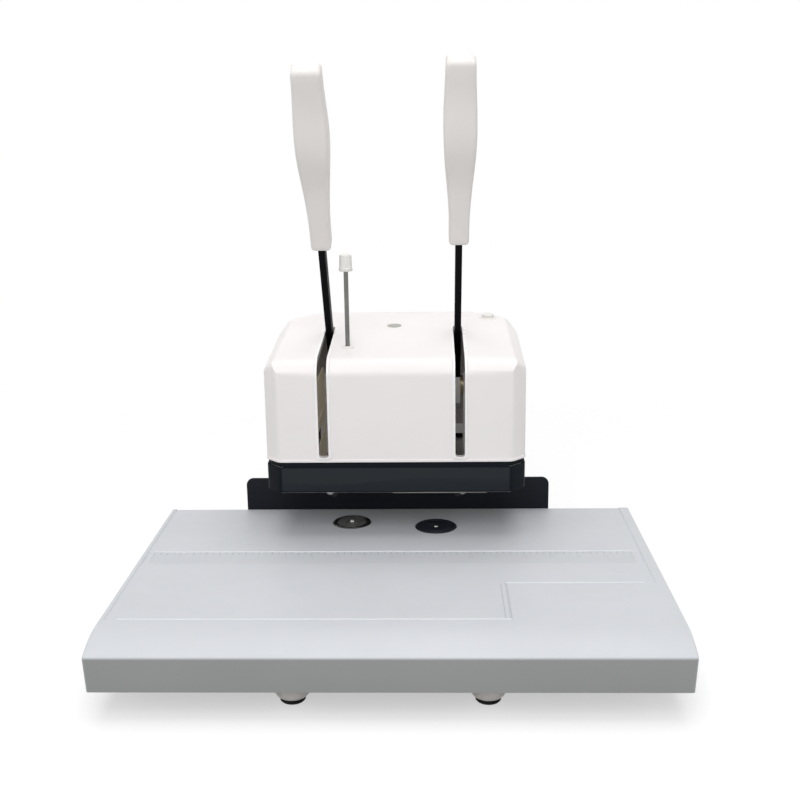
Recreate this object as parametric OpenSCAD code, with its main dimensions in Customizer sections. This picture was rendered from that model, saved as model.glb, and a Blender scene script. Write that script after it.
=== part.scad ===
// Two-lever desk binding machine: the left lever feeds a paper drill, the right one a heated rivet press.
// Millimetres. +X is the user's right, +Y the back and +Z up. The floor is z = 0, under the machine's middle.

/* [Base] */
// Depth of the whole machine, from the bed's front edge to the base plate's back edge
body_d = 332; // [328:1:372]
// Width of the bed tray
bed_w = 384; // [320:1:440]
// Depth of the bed tray, from its front edge to the fence
bed_d = 254; // [244:1:264]
// Height of the bed surface above the floor
bed_h = 52; // [46:0.5:60]
// Wall of the bed tray
bed_wall = 3; // [2:0.1:4]
// Depth of the bed's rolled-off front edge
roll_d = 32; // [20:1:45]
// Drop of the rolled-off front edge
roll_drop = 7.5; // [4:0.5:10]
// Height of the upright front lip
lip_h = 23.5; // [18:0.5:28]
// How far each side of the tray draws in at its lower rim
side_draft = 1.25; // [0:0.05:3]
// Width of the base plate
base_w = 180; // [160:1:220]
// Thickness of the base plate
base_t = 4; // [3:0.5:6]
// Gap between the bed's front edge and the base plate
base_setback = 12; // [8:1:20]
// Distance of each foot from the middle line
foot_x = 64; // [45:1:74]
// Distance of the feet from the front and back edges
foot_inset = 30; // [26:1:42]
// Radius of a foot cup at its top
foot_top_r = 12.5; // [10:0.5:14]
// Radius of a foot cup at its lower rim
foot_low_r = 9; // [7:0.5:10]
// Height of a rubber foot pad
pad_h = 6; // [4:0.5:9]
// Radius of the bosses that hold the bed tray to the base plate
boss_r = 5; // [4:0.25:7]
// Distance of the bosses from the base plate's long edges
boss_inset = 8; // [7:0.5:12]
// Radius of the small fixing screws
screw_r = 1.5; // [1:0.1:2]

/* [Column and fence] */
// Width across the column's side plates
column_w = 156; // [152:1:176]
// Thickness of the column's plates
column_t = 6; // [5:0.5:8]
// Thickness of the column's rear cover
cover_t = 3; // [2:0.25:5]
// Width of the paper fence
fence_w = 253; // [200:1:300]
// Sideways place of the fence
fence_x = -1.2; // [-6:0.2:6]
// Height of the paper fence above the bed
fence_h = 27; // [20:0.5:34]
// Thickness of the paper fence
fence_t = 2; // [1.5:0.25:4]
// Radius of the fence's upper corners
fence_corner = 6; // [2:0.5:12]
// Distance of each fence screw from the mechanism's middle
fence_screw_x = 52; // [40:1:60]

/* [Head] */
// Clear height between the bed and the head plate
throat_h = 36.5; // [32:0.5:42]
// Clear depth from the head's front face back to the fence
throat_d = 68; // [66:0.5:76]
// Width of the head
head_w = 201; // [190:1:220]
// Depth of the head
head_d = 142; // [138:1:160]
// Chamfer of the head's front upright corners
corner_ch = 11; // [6:0.5:13]
// Rounding of the head's rear upright corners
rear_corner_r = 50; // [30:1:52]
// Thickness of the steel head plate
plate_t = 6; // [5:0.25:8]
// How far the head plate stands below the skirt's rim
plate_show = 1; // [0.5:0.25:3]
// Height of the dark skirt under the hood
skirt_h = 24.5; // [20:0.5:30]
// Wall of the skirt
skirt_wall = 2.5; // [2:0.1:4]
// Height of the hood at its front, measured to the sharp top edge
hood_h = 78.5; // [76:0.5:90]
// Rise of the hood's top towards the back, in degrees
hood_slope = 6; // [3:0.5:9]
// Wall of the hood
hood_wall = 3; // [2:0.1:3.5]
// Rounding of the hood's front top edge
hood_round = 11; // [6:0.5:14]
// Rounding of the hood's back top edge
hood_rear_round = 4; // [2:0.5:6]
// Chamfer along the hood's top side edges
top_ch = 9; // [5:0.5:11]
// Height of the tongue that locates the hood inside the skirt
tongue_h = 7; // [5:0.5:10]
// Thickness of that tongue
tongue_t = 2; // [1.5:0.1:3]
// Width of a lever slot
slot_w = 7.4; // [7:0.1:9]
// Width of the raised rim round a lever slot
rim_w = 2.4; // [1.5:0.1:4]
// Height of the raised rim above the hood
rim_h = 0.8; // [0.4:0.1:1.5]
// Room left in a lever slot under the bar at full swing
slot_drop = 3.3; // [0:0.1:4]

/* [Levers] */
// Distance of the lever shaft behind the fence line
pivot_back = 40; // [38:0.5:42]
// Height of the lever shaft above the bed
pivot_up = 97; // [95:0.5:100]
// Radius of the lever shaft
shaft_r = 6; // [4:0.25:7]
// Sideways place of the left lever
lever_x_left = -54.8; // [-57:0.1:-54]
// Sideways place of the right lever
lever_x_right = 49.8; // [49.5:0.1:53]
// Forward lean of the left lever at rest, in degrees
lean_left = 30; // [24:0.5:33]
// Forward lean of the right lever at rest, in degrees
lean_right = 28; // [24:0.5:33]
// Working swing of a lever, in degrees
press_angle = 69; // [60:0.5:70]
// Thickness of a lever bar
lever_t = 5.2; // [4:0.1:6]
// Breadth of a lever bar in its swing plane
lever_b = 13; // [10:0.5:18]
// Distance from the shaft to the grip's lower end
grip_start = 147; // [135:1:165]
// Length of a grip
grip_len = 149; // [130:1:180]
// Width of a grip at its lower end
grip_low_w = 16.6; // [13:0.2:18]
// Width of a grip at its bulge
grip_max_w = 23.8; // [20:0.2:30]
// Width of a grip at its top
grip_top_w = 20.6; // [18:0.2:28]
// Height of the bulge above the grip's lower end
grip_bulge = 96; // [80:1:115]
// Cover of a grip over its bar's edges at its lower end
grip_low_cover = 3; // [2.75:0.25:5]
// Cover of a grip over its bar's edges at its bulge
grip_max_cover = 4.5; // [3:0.25:8]
// Depth of a grip at its top
grip_top_d = 16.5; // [14:0.5:24]
// Length of the bar's tang inside the grip
tang_len = 118; // [90:1:125]

/* [Drill station] */
// Sideways place of the drill
drill_x = -37.2; // [-38.5:0.1:-34]
// Distance of the drill in front of the fence
drill_front = 31; // [29:0.5:33]
// Outer radius of the hollow drill bit
bit_r = 3.5; // [3:0.1:4]
// Radius of the drill bit's and spindle's chip bore
chip_bore_r = 2.2; // [2.1:0.05:2.4]
// Outer radius of the drill spindle
spindle_r = 4; // [3.75:0.05:4.5]
// Outer radius of the spindle's ball bearings
bearing_r = 8; // [7:0.1:8.4]
// Height of one ball bearing
bearing_h = 5; // [4:0.5:6]
// Radius of the collet nut
collet_r = 8; // [7:0.25:9]
// Height of the collet nut
collet_h = 10; // [8:0.5:12]
// Radius of the drill motor
motor_r = 9.6; // [8:0.1:9.8]
// Height of the drill motor
motor_h = 27; // [22:0.5:29]
// Direction from the drill to its motor, in degrees from the +X side
motor_angle = 47; // [42:1:54]
// Teeth of the spindle gear
spindle_teeth = 22; // [20:1:23]
// Teeth of the motor pinion
pinion_teeth = 18; // [18:1:20]
// Module of the spindle gears
spindle_module = 1; // [0.95:0.01:1.02]
// Radius of the chip ejector rod
ejector_r = 1.75; // [1.5:0.05:1.8]
// Travel of the chip ejector
ejector_stroke = 58; // [45:1:64]
// Outer radius of the ejector's bush in the hood
ejector_bush_r = 4.6; // [3.5:0.1:6]
// Radius of the ejector's cap at its lower rim
cap_r = 5.3; // [4.5:0.1:7]
// Radius of the ejector's cap at its top
cap_top_r = 4.6; // [3.5:0.1:7]
// Height of the ejector's cap
cap_h = 13; // [9:0.5:16]
// Radius of the drill pad's steel seat
drill_seat_r = 15.2; // [13:0.2:17]
// Radius of the drill pad
drill_pad_r = 12; // [10:0.2:12.4]

/* [Rivet station] */
// Sideways place of the rivet press
rivet_x = 31; // [29:0.1:32]
// Distance of the rivet press in front of the fence
rivet_front = 41; // [39:0.5:43]
// Radius of the heater barrel
heater_r = 9; // [8:0.25:10]
// Height of the heater barrel
heater_h = 26; // [22:0.5:28]
// Radius of the rivet die
die_r = 6; // [5:0.25:7]
// Radius of the heat insulating disc
insulator_r = 11.5; // [10.5:0.25:12]
// Height of the heat insulating disc
insulator_h = 5; // [4:0.5:7]
// Radius of the rivet anvil
anvil_r = 16.5; // [14:0.25:18]
// Radius of the centring pin in the anvil
anvil_pin_r = 1.6; // [1:0.1:2.5]

/* [Carriages and gears] */
// Thickness of a carriage slab
slab_t = 12; // [10:0.5:14]
// Height of a carriage's bushes above its underside
bush_h = 30; // [26:0.5:31]
// Radius of a guide rod
rod_r = 4; // [3:0.1:4.5]
// Wall of a carriage bush round its rod
bush_wall = 2.5; // [2:0.1:3]
// Room under a carriage at full stroke
bump_gap = 2; // [1:0.25:4]
// Teeth on a full circle of the lever's sector gear
sector_teeth = 32; // [30:1:34]
// Module of the sector gear and rack
sector_module = 2; // [1.96:0.01:2.02]
// Face width of the sector gear
sector_w = 8; // [7:0.25:9]
// Face width of the rack
rack_w = 6; // [5:0.25:6.5]
// Depth of the rack behind its pitch line
rack_depth = 8; // [6:0.25:9]
// Face width of the small spindle gears
spindle_gear_w = 5; // [4:0.25:6]
// Thickness of the tie plate over the guide rods
tie_t = 4; // [3:0.25:5]
// Wire radius of a return spring
wire_r = 0.9; // [0.7:0.05:1]
// Turns of a return spring
spring_turns = 6; // [4:1:7]
// Gap between the turns of a return spring
turn_gap = 0.8; // [0.6:0.05:0.9]

/* [Small fittings] */
// Radius of the indicator lens
lens_r = 6; // [4:0.25:7]
// Distance of the indicator lens behind the fence line
lens_back = 29; // [24:0.5:34]
// Radius of the push button
button_r = 6; // [4.5:0.25:7]
// Distance of the push button from the head's right side
button_side = 24; // [22.5:0.5:34]
// Distance of the push button in front of the hood's back
button_in = 22; // [21:0.5:30]
// Height of the push button above the hood
button_show = 4; // [2:0.25:5]
// Travel of the push button
button_stroke = 1.75; // [1:0.25:2.5]
// Width of the power inlet's flange
inlet_w = 32; // [28:0.5:38]
// Height of the power inlet's flange
inlet_h = 24; // [22:0.5:28]
// Width of the power switch's flange
switch_w = 22; // [18:0.5:26]
// Height of the power switch's flange
switch_h = 15; // [13:0.5:18]
// Sideways distance of the inlet and the switch from the middle
fitting_x = 34; // [26:0.5:44]
// Number of vent slots in a back panel
vent_n = 7; // [3:1:9]
// Width of a vent slot
vent_w = 3; // [2:0.25:4]
// Height of a vent slot in the hood
vent_h = 34; // [16:1:40]
// Spacing of the vent slots
vent_pitch = 8; // [6:0.5:10]
// Distance of the stop screws from the middle line
stop_x = 51.6; // [48:0.1:56]
// Radius of a stop screw's domed head
stop_r = 4; // [3:0.25:5]
// Height of a stop screw's domed head
stop_h = 4.4; // [3:0.1:4.6]
// Swing of the power switch's rocker, in degrees
rocker_swing = 14; // [8:1:18]

/* [Clearances] */
// Radial clearance of running and located fits
fit = 0.05; // [0.03:0.01:0.1]
// Clearance between pieces that pass or lie beside each other
gap = 0.4; // [0.3:0.05:0.6]
// Side clearance between a lever and the carriage beside it
lever_gap = 1; // [0.6:0.05:1.2]
// Clearance at the flanks of meshing teeth
flank_gap = 0.2; // [0.12:0.02:0.3]
// Clearance between the tools and the bed at full stroke
tool_gap = 0.4; // [0.3:0.05:0.8]

/* [Hidden] */
$fn = 64;
arc_steps = 12;
pressure_angle = 20;
post_r = 10;
seat_t = 6;
pad_t = 4;
foot_rim = 1.5;
fence_tail = 6;
bracket_t = 6;
hub_wall = 2.6;
boss_wall = 7;
head_screw_r = 2;
inlet_lip = 3;
inlet_wall = 2;
inlet_depth = 14;
inlet_flange_t = 2.5;
inlet_pin_half = 1;
inlet_pin_len = 10;
switch_lip = 1.5;
switch_wall = 1.5;
switch_depth = 8;
switch_flange_t = 1.5;
rocker_pin_r = 1;
board_w = 88;
board_h = 42;
board_t = 1.6;
standoff_h = 4;
standoff_r = 2.5;
standoff_in = 6;
transformer = [28, 17, 24];
relay = [16, 11, 12];
capacitor_r = 6;
capacitor_h = 12;
button_flange = 1.2;
cut = 30;

// Levels and lines of the base
bed_front_y = -body_d / 2;
bed_back_y = bed_front_y + bed_d;
base_z = bed_h - roll_drop - lip_h;
base_top = base_z + base_t;
fence_back_y = bed_back_y + fence_t;
roll_r = (roll_d * roll_d + roll_drop * roll_drop) / (2 * roll_drop);
boss_x = base_w / 2 - boss_inset;
boss_ys = [bed_front_y + roll_d + 2 * boss_inset, bed_back_y - 5 * boss_inset];
foot_ys = [bed_front_y + foot_inset, body_d / 2 - foot_inset];

// Levels and lines of the head
plate_z = bed_h + throat_h;
plate_top = plate_z + plate_t;
skirt_z = plate_z + plate_show;
hood_z = skirt_z + skirt_h;
hood_top_z = hood_z + hood_h;
head_front_y = bed_back_y - throat_d;
head_rear_y = head_front_y + head_d;
column_back_y = head_rear_y - cover_t;
fitting_z = (base_top + plate_z) / 2;
button_x = head_w / 2 - button_side;

// Levers, sector gears and stroke
mech_x = (lever_x_left + lever_x_right) / 2;
pivot_y = bed_back_y + pivot_back;
pivot_z = bed_h + pivot_up;
sector_r = sector_teeth * sector_module / 2;
stroke = sector_r * press_angle * PI / 180;
hub_r = shaft_r + hub_wall;
eye_r = hub_r + boss_wall;
rack_y = pivot_y - sector_r;
grip_low_d = lever_b + 2 * grip_low_cover;
grip_max_d = lever_b + 2 * grip_max_cover;
bracket_left_x = lever_x_left - lever_t / 2 - hub_wall - gap;
bracket_right_x = lever_x_right + lever_t / 2 + hub_wall + gap;

// Carriages and guide rods
bush_r = rod_r + bush_wall;
housing_r = bearing_r + bush_wall;
slab_z = plate_top + bump_gap + stroke;
slab_back_y = rack_y - rack_depth;
bush_top = slab_z + bush_h;
drill_y = bed_back_y - drill_front;
rivet_y = bed_back_y - rivet_front;
slab_left_x = lever_x_left + lever_t / 2 + lever_gap;
slab_right_x = lever_x_right - lever_t / 2 - lever_gap;
back_rod_y = slab_back_y - bush_r - 2;
rods_left = [
  [drill_x + housing_r + bush_r, drill_y - housing_r - bush_r],
  [slab_left_x + bush_r + 1, back_rod_y]
];
rods_right = [
  [rivet_x - insulator_r - bush_r, rivet_y - bush_r],
  [slab_right_x - bush_r - 1, back_rod_y]
];
gear_reach = (spindle_teeth + pinion_teeth) * spindle_module / 2;
motor_x = drill_x + gear_reach * cos(motor_angle);
motor_y = drill_y + gear_reach * sin(motor_angle);
small_gear_z = bush_top + 1;
spindle_top = small_gear_z + spindle_gear_w + 1;
tie_z = spindle_top + 5;
tip_z = bed_h + tool_gap + stroke;
collet_z = slab_z - gap - collet_h;
spindle_low = collet_z + collet_h / 2;

// Chip ejector
ejector_bush_top = hood_top(drill_y) + 1.6;
cap_z = ejector_bush_top + ejector_stroke + gap;
ejector_low = spindle_top - stroke - 5;

// Lever slots: they end clear of the bar at rest and of the bar at full swing
slot_end_y = max(bar_back_at_top(lean_left), bar_back_at_top(lean_right)) + gap;
slot_low_z = min(bar_low_at_front(lean_left), bar_low_at_front(lean_right)) - gap - slot_drop;

// Return springs
turn_pitch = 2 * wire_r + turn_gap;
coil_r = (hub_r + gap + wire_r) / cos(180 / 8);
spring_leg = pivot_z - plate_top - wire_r - gap;
spring_hook = 9;
spring_len = turn_pitch * spring_turns;
spring_left_x = lever_x_left + lever_t / 2 + sector_w + wire_r + gap;
spring_right_x = lever_x_right - lever_t / 2 - sector_w - wire_r - gap;
spring_path = concat(
  [for (i = [0:3]) [0, coil_r, -spring_leg * (1 - i / 4)]],
  [for (i = [0:8 * spring_turns])
    [turn_pitch * i / 8, coil_r * cos(45 * i), coil_r * sin(45 * i)]],
  [[turn_pitch * spring_turns, coil_r, spring_hook]]
);
least_gap = min([
  for (i = [0:len(spring_path) - 1])
    for (j = [0:len(spring_path) - 1])
      if (j - i > 4) norm(spring_path[i] - spring_path[j]) - 2 * wire_r
]);
echo("least gap of a return spring to itself", least_gap);

// Height of the hood's outer top at a given depth
function hood_top(y) = hood_top_z + (y - head_front_y) * tan(hood_slope);

// Depth at which a resting bar's back edge passes the hood's inner top
function bar_back_at_top(lean) =
  let (inner_z = hood_top_z - hood_wall / cos(hood_slope) - head_front_y * tan(hood_slope))
  (pivot_y - (inner_z - pivot_z) * tan(lean) + lever_b / (2 * cos(lean)))
    / (1 + tan(hood_slope) * tan(lean));

// Height at which a fully swung bar's lower edge passes the hood's front face
function bar_low_at_front(lean) =
  let (full = lean + press_angle)
  let (along = (pivot_y - head_front_y + rim_h - lever_b / 2 * cos(full)) / sin(full))
  pivot_z + along * cos(full) - lever_b / 2 * sin(full);

// Points on an arc, from one angle to another
function arc(centre, r, from, to) =
  [for (i = [0:arc_steps]) let (a = from + (to - from) * i / arc_steps) centre + r * [cos(a), sin(a)]];

// Smooth step from one value to another
function ease(from, to, t) = from + (to - from) * (1 - cos(180 * min(1, max(0, t)))) / 2;

// Involute function, in degrees
function inv(a) = tan(a) * 180 / PI - a;

// One side of an involute tooth centred on angle zero, as [radius, half angle] pairs from root to tip
function flank(teeth, module_size) =
  let (r = teeth * module_size / 2)
  let (base_r = r * cos(pressure_angle))
  let (root_r = r - 1.25 * module_size)
  let (half = 90 / teeth - flank_gap / 2 / r * 180 / PI + inv(pressure_angle))
  concat(
    root_r < base_r ? [[root_r, half]] : [],
    [for (i = [0:5])
      let (q = max(root_r, base_r) + (r + module_size - max(root_r, base_r)) * i / 5)
      [q, half - inv(acos(min(1, base_r / q)))]]
  );

// Outline of one gear tooth at a given angle
function tooth(teeth, module_size, at) =
  let (side = flank(teeth, module_size))
  concat(
    [for (p = side) p[0] * [cos(at - p[1]), sin(at - p[1])]],
    [for (i = [len(side) - 1:-1:0]) side[i][0] * [cos(at + side[i][1]), sin(at + side[i][1])]]
  );

// Turns an outline drawn in Y and Z into a plate from x0, of width w
module extrude_x(x0, w) {
  translate([x0, 0, 0]) rotate([90, 0, 90]) linear_extrude(w) children();
}

// Turns an outline drawn in X and Z into a plate from y0, of depth d
module extrude_y(y0, d) {
  translate([0, y0 + d, 0]) rotate([90, 0, 0]) linear_extrude(d) children();
}

// Round bar along X
module bar_x(x0, w, r) {
  translate([x0, 0, 0]) rotate([0, 90, 0]) cylinder(r = r, h = w);
}

// Round bar along Y
module bar_y(y0, d, r) {
  translate([0, y0 + d, 0]) rotate([90, 0, 0]) cylinder(r = r, h = d);
}

// Block between two corners
module block(low, high) {
  translate(low) cube(high - low);
}

// Whole spur gear outline
module gear_outline(teeth, module_size, first) {
  polygon([for (k = [0:teeth - 1]) each tooth(teeth, module_size, first + 360 * k / teeth)]);
}

// Side outline of the bed tray, drawn in by w
module tray_side(w, low) {
  front = bed_front_y + w;
  reach = asin((roll_d - w) / (roll_r - w));
  centre = [bed_front_y + roll_d, bed_h - roll_r];
  polygon(concat(
    [[front, low]],
    arc(centre, roll_r - w, 90 + reach, 90),
    [[bed_back_y - w, bed_h - w], [bed_back_y - w, low]]
  ));
}

// Front outline of the bed tray, drawn in by w
module tray_front(w, low) {
  half = bed_w / 2 - w;
  polygon([[-half, bed_h], [half, bed_h], [half - side_draft, low], [-half + side_draft, low]]);
}

// Solid form of the bed tray, drawn in by w
module tray_form(w, low) {
  intersection() {
    extrude_x(-bed_w / 2, bed_w) tray_side(w, low);
    extrude_y(bed_front_y, bed_d) tray_front(w, low);
  }
}

module bed_bosses(r, low, high) {
  for (x = [-boss_x, boss_x])
    for (y = boss_ys)
      translate([x, y, low]) cylinder(r = r, h = high - low);
}

module bed_tray() {
  color("silver") difference() {
    union() {
      difference() {
        tray_form(0, base_z);
        tray_form(bed_wall, base_z - cut);
      }
      bed_bosses(boss_r, base_top, bed_h - bed_wall / 2);
    }
    bed_bosses(screw_r + fit, base_top - 1, bed_h - 3 * bed_wall);
    block([-base_w / 2 - gap, bed_back_y - cut, base_z - 1],
      [base_w / 2 + gap, bed_back_y + 1, base_top + gap]);
    translate([drill_x, drill_y, bed_h - cut]) cylinder(r = drill_seat_r + gap, h = 2 * cut);
    translate([rivet_x, rivet_y, bed_h - cut]) cylinder(r = anvil_r + gap, h = 2 * cut);
  }
}

module feet(r, low, high) {
  for (x = [-foot_x, foot_x])
    for (y = foot_ys)
      translate([x, y, low]) cylinder(r = r, h = high - low);
}

module base_plate() {
  color("dimgray") difference() {
    block([-base_w / 2, bed_front_y + base_setback, base_z], [base_w / 2, body_d / 2, base_top]);
    bed_bosses(screw_r + gap, base_z - 1, base_top + 1);
    feet(screw_r + fit, base_z - 1, base_top + 1);
  }
}

module foot_cups() {
  color("ivory") difference() {
    union() {
      for (x = [-foot_x, foot_x])
        for (y = foot_ys)
          translate([x, y, pad_h / 2])
            cylinder(r1 = foot_low_r, r2 = foot_top_r, h = base_z - pad_h / 2);
      feet(screw_r, base_z - 1, base_top);
    }
    feet(foot_low_r - foot_rim + fit, 0, pad_h);
  }
}

module foot_pads() {
  color("black") feet(foot_low_r - foot_rim, 0, pad_h);
}

module bed_screws() {
  color("gray") union() {
    bed_bosses(2 * screw_r, base_z - screw_r, base_z);
    bed_bosses(screw_r, base_z - screw_r, base_top + 3 * boss_r / 2);
  }
}

module drill_seat() {
  color("dimgray") translate([drill_x, drill_y, bed_h - seat_t]) difference() {
    cylinder(r = drill_seat_r, h = seat_t);
    translate([0, 0, seat_t - pad_t]) cylinder(r = drill_pad_r + fit, h = seat_t);
  }
}

module drill_pad() {
  color("saddlebrown") translate([drill_x, drill_y, bed_h - pad_t]) cylinder(r = drill_pad_r, h = pad_t);
}

module rivet_anvil() {
  color("#202020") translate([rivet_x, rivet_y, bed_h - seat_t]) difference() {
    cylinder(r = anvil_r, h = seat_t);
    translate([0, 0, -1]) cylinder(r = anvil_pin_r + fit, h = seat_t + 2);
  }
}

module anvil_pin() {
  color("lightgray") translate([rivet_x, rivet_y, bed_h - seat_t]) cylinder(r = anvil_pin_r, h = seat_t);
}

module anvil_posts() {
  color("gray")
    for (p = [[drill_x, drill_y], [rivet_x, rivet_y]])
      translate([p[0], p[1], base_top]) cylinder(r = post_r, h = bed_h - seat_t - base_top);
}

// The four screws that hold the head plate on the column
module head_bolts(r, low, high) {
  for (x = [-1, 1])
    for (y = [fence_back_y + 2 * column_t, column_back_y - 3 * column_t])
      translate([x * (column_w - column_t) / 2, y, low]) cylinder(r = r, h = high - low);
}

module column_sides() {
  color("#303030") difference() {
    for (x = [-column_w / 2, column_w / 2 - column_t])
      block([x, fence_back_y, base_top], [x + column_t, column_back_y, plate_z]);
    head_bolts(head_screw_r + fit, plate_z - 3 * plate_t, plate_z + 1);
  }
}

// The two screws that hold the fence to the column
module fence_bolts(r, y0, d) {
  for (x = [-fence_screw_x, fence_screw_x])
    translate([mech_x + x, 0, bed_h + fence_h / 2]) bar_y(y0, d, r);
}

module column_front() {
  half = column_w / 2 - column_t;
  color("#303030") difference() {
    block([-half, fence_back_y, base_top], [half, fence_back_y + column_t, plate_z]);
    fence_bolts(screw_r + fit, fence_back_y - 1, column_t + 2);
  }
}

// Upright block of a given width and height, drawn in by w, between two depths
module panel(width, height, w, y0, y1) {
  block([-width / 2 + w, y0, -height / 2 + w], [width / 2 - w, y1, height / 2 - w]);
}

module column_cover() {
  color("#303030") difference() {
    block([-column_w / 2, column_back_y, base_top], [column_w / 2, head_rear_y, plate_z]);
    translate([fitting_x, 0, fitting_z])
      panel(inlet_w, inlet_h, inlet_lip, column_back_y - 1, head_rear_y + 1);
    translate([-fitting_x, 0, fitting_z])
      panel(switch_w, switch_h, switch_lip, column_back_y - 1, head_rear_y + 1);
  }
}

module fence_plate() {
  half = fence_w / 2;
  top = bed_h + fence_h;
  low = bed_h - fence_tail;
  color("#181a20") difference() {
    translate([fence_x, 0, 0]) extrude_y(bed_back_y, fence_t) polygon(concat(
      [[half, low]],
      arc([half - fence_corner, top - fence_corner], fence_corner, 0, 90),
      arc([-half + fence_corner, top - fence_corner], fence_corner, 90, 180),
      [[-half, low]]
    ));
    fence_bolts(2 * screw_r + fit, bed_back_y - 1, 1 + fence_t / 2);
    fence_bolts(screw_r + gap, bed_back_y - 1, fence_t + 2);
  }
}

module fence_screws() {
  color("#202020") union() {
    fence_bolts(2 * screw_r, bed_back_y, fence_t / 2);
    fence_bolts(screw_r, bed_back_y, fence_t + column_t);
  }
}

// Plan outline of the head, drawn in by w
module head_plan(w) {
  half = head_w / 2 - w;
  front = head_front_y + w;
  ch = corner_ch - w * (2 - sqrt(2));
  r = rear_corner_r - w;
  side = head_w / 2 - rear_corner_r;
  rear = head_rear_y - rear_corner_r;
  polygon(concat(
    [[-half + ch, front], [half - ch, front], [half, front + ch]],
    arc([side, rear], r, 0, 90),
    arc([-side, rear], r, 90, 180),
    [[-half, front + ch]]
  ));
}

module at_rods() {
  for (p = concat(rods_left, rods_right))
    translate([p[0], p[1], 0]) children();
}

module at_stops() {
  for (x = [-stop_x, stop_x])
    translate([x, head_front_y + skirt_wall + 2 * stop_r, plate_z]) children();
}

module head_plate() {
  color("lightsteelblue") difference() {
    translate([0, 0, plate_z]) linear_extrude(plate_t) head_plan(skirt_wall + gap);
    at_rods() translate([0, 0, plate_z - 1]) cylinder(r = rod_r + fit, h = plate_t + 2);
    at_stops() translate([0, 0, -1]) cylinder(r = stop_r / 2 + fit, h = plate_t + 2);
    head_bolts(head_screw_r + gap, plate_z - 1, plate_top + 1);
    translate([drill_x, drill_y, plate_z - 1]) cylinder(r = collet_r + 2, h = plate_t + 2);
    translate([rivet_x, rivet_y, plate_z - 1]) cylinder(r = insulator_r + 1.5, h = plate_t + 2);
  }
}

module head_screws() {
  color("gray") difference() {
    union() {
      head_bolts(1.75 * head_screw_r, plate_top, plate_top + 2 * head_screw_r);
      head_bolts(head_screw_r, plate_z - 2 * plate_t, plate_top + head_screw_r);
    }
    head_bolts(0.8 * head_screw_r, plate_top + head_screw_r, plate_top + 3 * head_screw_r);
  }
}

module stop_screws() {
  dome_r = (stop_r * stop_r + stop_h * stop_h) / (2 * stop_h);
  color("gainsboro") at_stops() union() {
    intersection() {
      translate([0, 0, dome_r - stop_h]) sphere(r = dome_r);
      translate([0, 0, -stop_h]) cylinder(r = 2 * stop_r, h = stop_h);
    }
    translate([0, 0, -1]) cylinder(r = stop_r / 2, h = plate_t + 1);
  }
}

// The four screws that hold the hood's tongue in the skirt
module hood_bolts(r, from, to) {
  for (y = [head_front_y + 3 * corner_ch, head_rear_y - rear_corner_r - corner_ch])
    for (side = [-1, 1])
      translate([0, y, hood_z - tongue_h / 2])
        rotate([0, side * 90, 0]) translate([0, 0, from]) cylinder(r = r, h = to - from);
}

module skirt() {
  color("#101014") difference() {
    translate([0, 0, skirt_z]) linear_extrude(skirt_h) head_plan(0);
    translate([0, 0, skirt_z - 1]) linear_extrude(skirt_h + 2) head_plan(skirt_wall);
    hood_bolts(screw_r + fit, head_w / 2 - 2 * skirt_wall, head_w / 2 + 1);
  }
}

module hood_screws() {
  inner = head_w / 2 - skirt_wall - tongue_t;
  color("#202020") union() {
    hood_bolts(2 * screw_r, head_w / 2, head_w / 2 + screw_r);
    hood_bolts(screw_r, inner, head_w / 2 + screw_r);
  }
}

// Side outline of the hood, drawn in by w
module hood_side(w) {
  front = head_front_y + w;
  rear = head_rear_y - w;
  r = hood_round - w;
  s = max(hood_rear_round - w, fit);
  polygon(concat(
    [[front, hood_z - cut]],
    arc([front + r, hood_top(front + r) - (w + r) / cos(hood_slope)], r, 180, 90 + hood_slope),
    arc([rear - s, hood_top(rear - s) - (w + s) / cos(hood_slope)], s, 90 + hood_slope, 0),
    [[rear, hood_z - cut]]
  ));
}

// Half-space above a top side chamfer that is drawn in by w
module top_chamfer(w, side) {
  edge = head_w / 2 - top_ch - w * sqrt(2);
  translate([0, head_front_y, hood_top_z]) rotate([hood_slope, 0, 0])
    extrude_y(-cut, head_d + 2 * cut) polygon([
      [side * (edge - 2 * cut), 2 * cut], [side * (edge + 2 * cut), -2 * cut],
      [side * (edge + 2 * cut), 2 * cut]
    ]);
}

// Solid form of the hood, drawn in by w
module hood_form(w, low) {
  difference() {
    intersection() {
      extrude_x(-head_w, 2 * head_w) hood_side(w);
      translate([0, 0, low]) linear_extrude(3 * hood_h) head_plan(w);
    }
    for (side = [-1, 1]) top_chamfer(w, side);
  }
}

// Path of a lever through the hood's front and top, w wide
module slot_form(x, w) {
  translate([x, 0, 0]) {
    block([-w / 2, head_front_y - cut, slot_low_z], [w / 2, slot_end_y, hood_top_z + 2 * cut]);
    translate([0, 0, slot_low_z]) bar_y(head_front_y - cut, 2 * cut, w / 2);
    translate([0, slot_end_y, slot_low_z]) cylinder(r = w / 2, h = 2 * hood_h);
  }
}

// Place on the hood's sloping top, with +Z along its normal
module on_hood(x, y) {
  translate([x, y, hood_top(y)]) rotate([hood_slope, 0, 0]) children();
}

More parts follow.
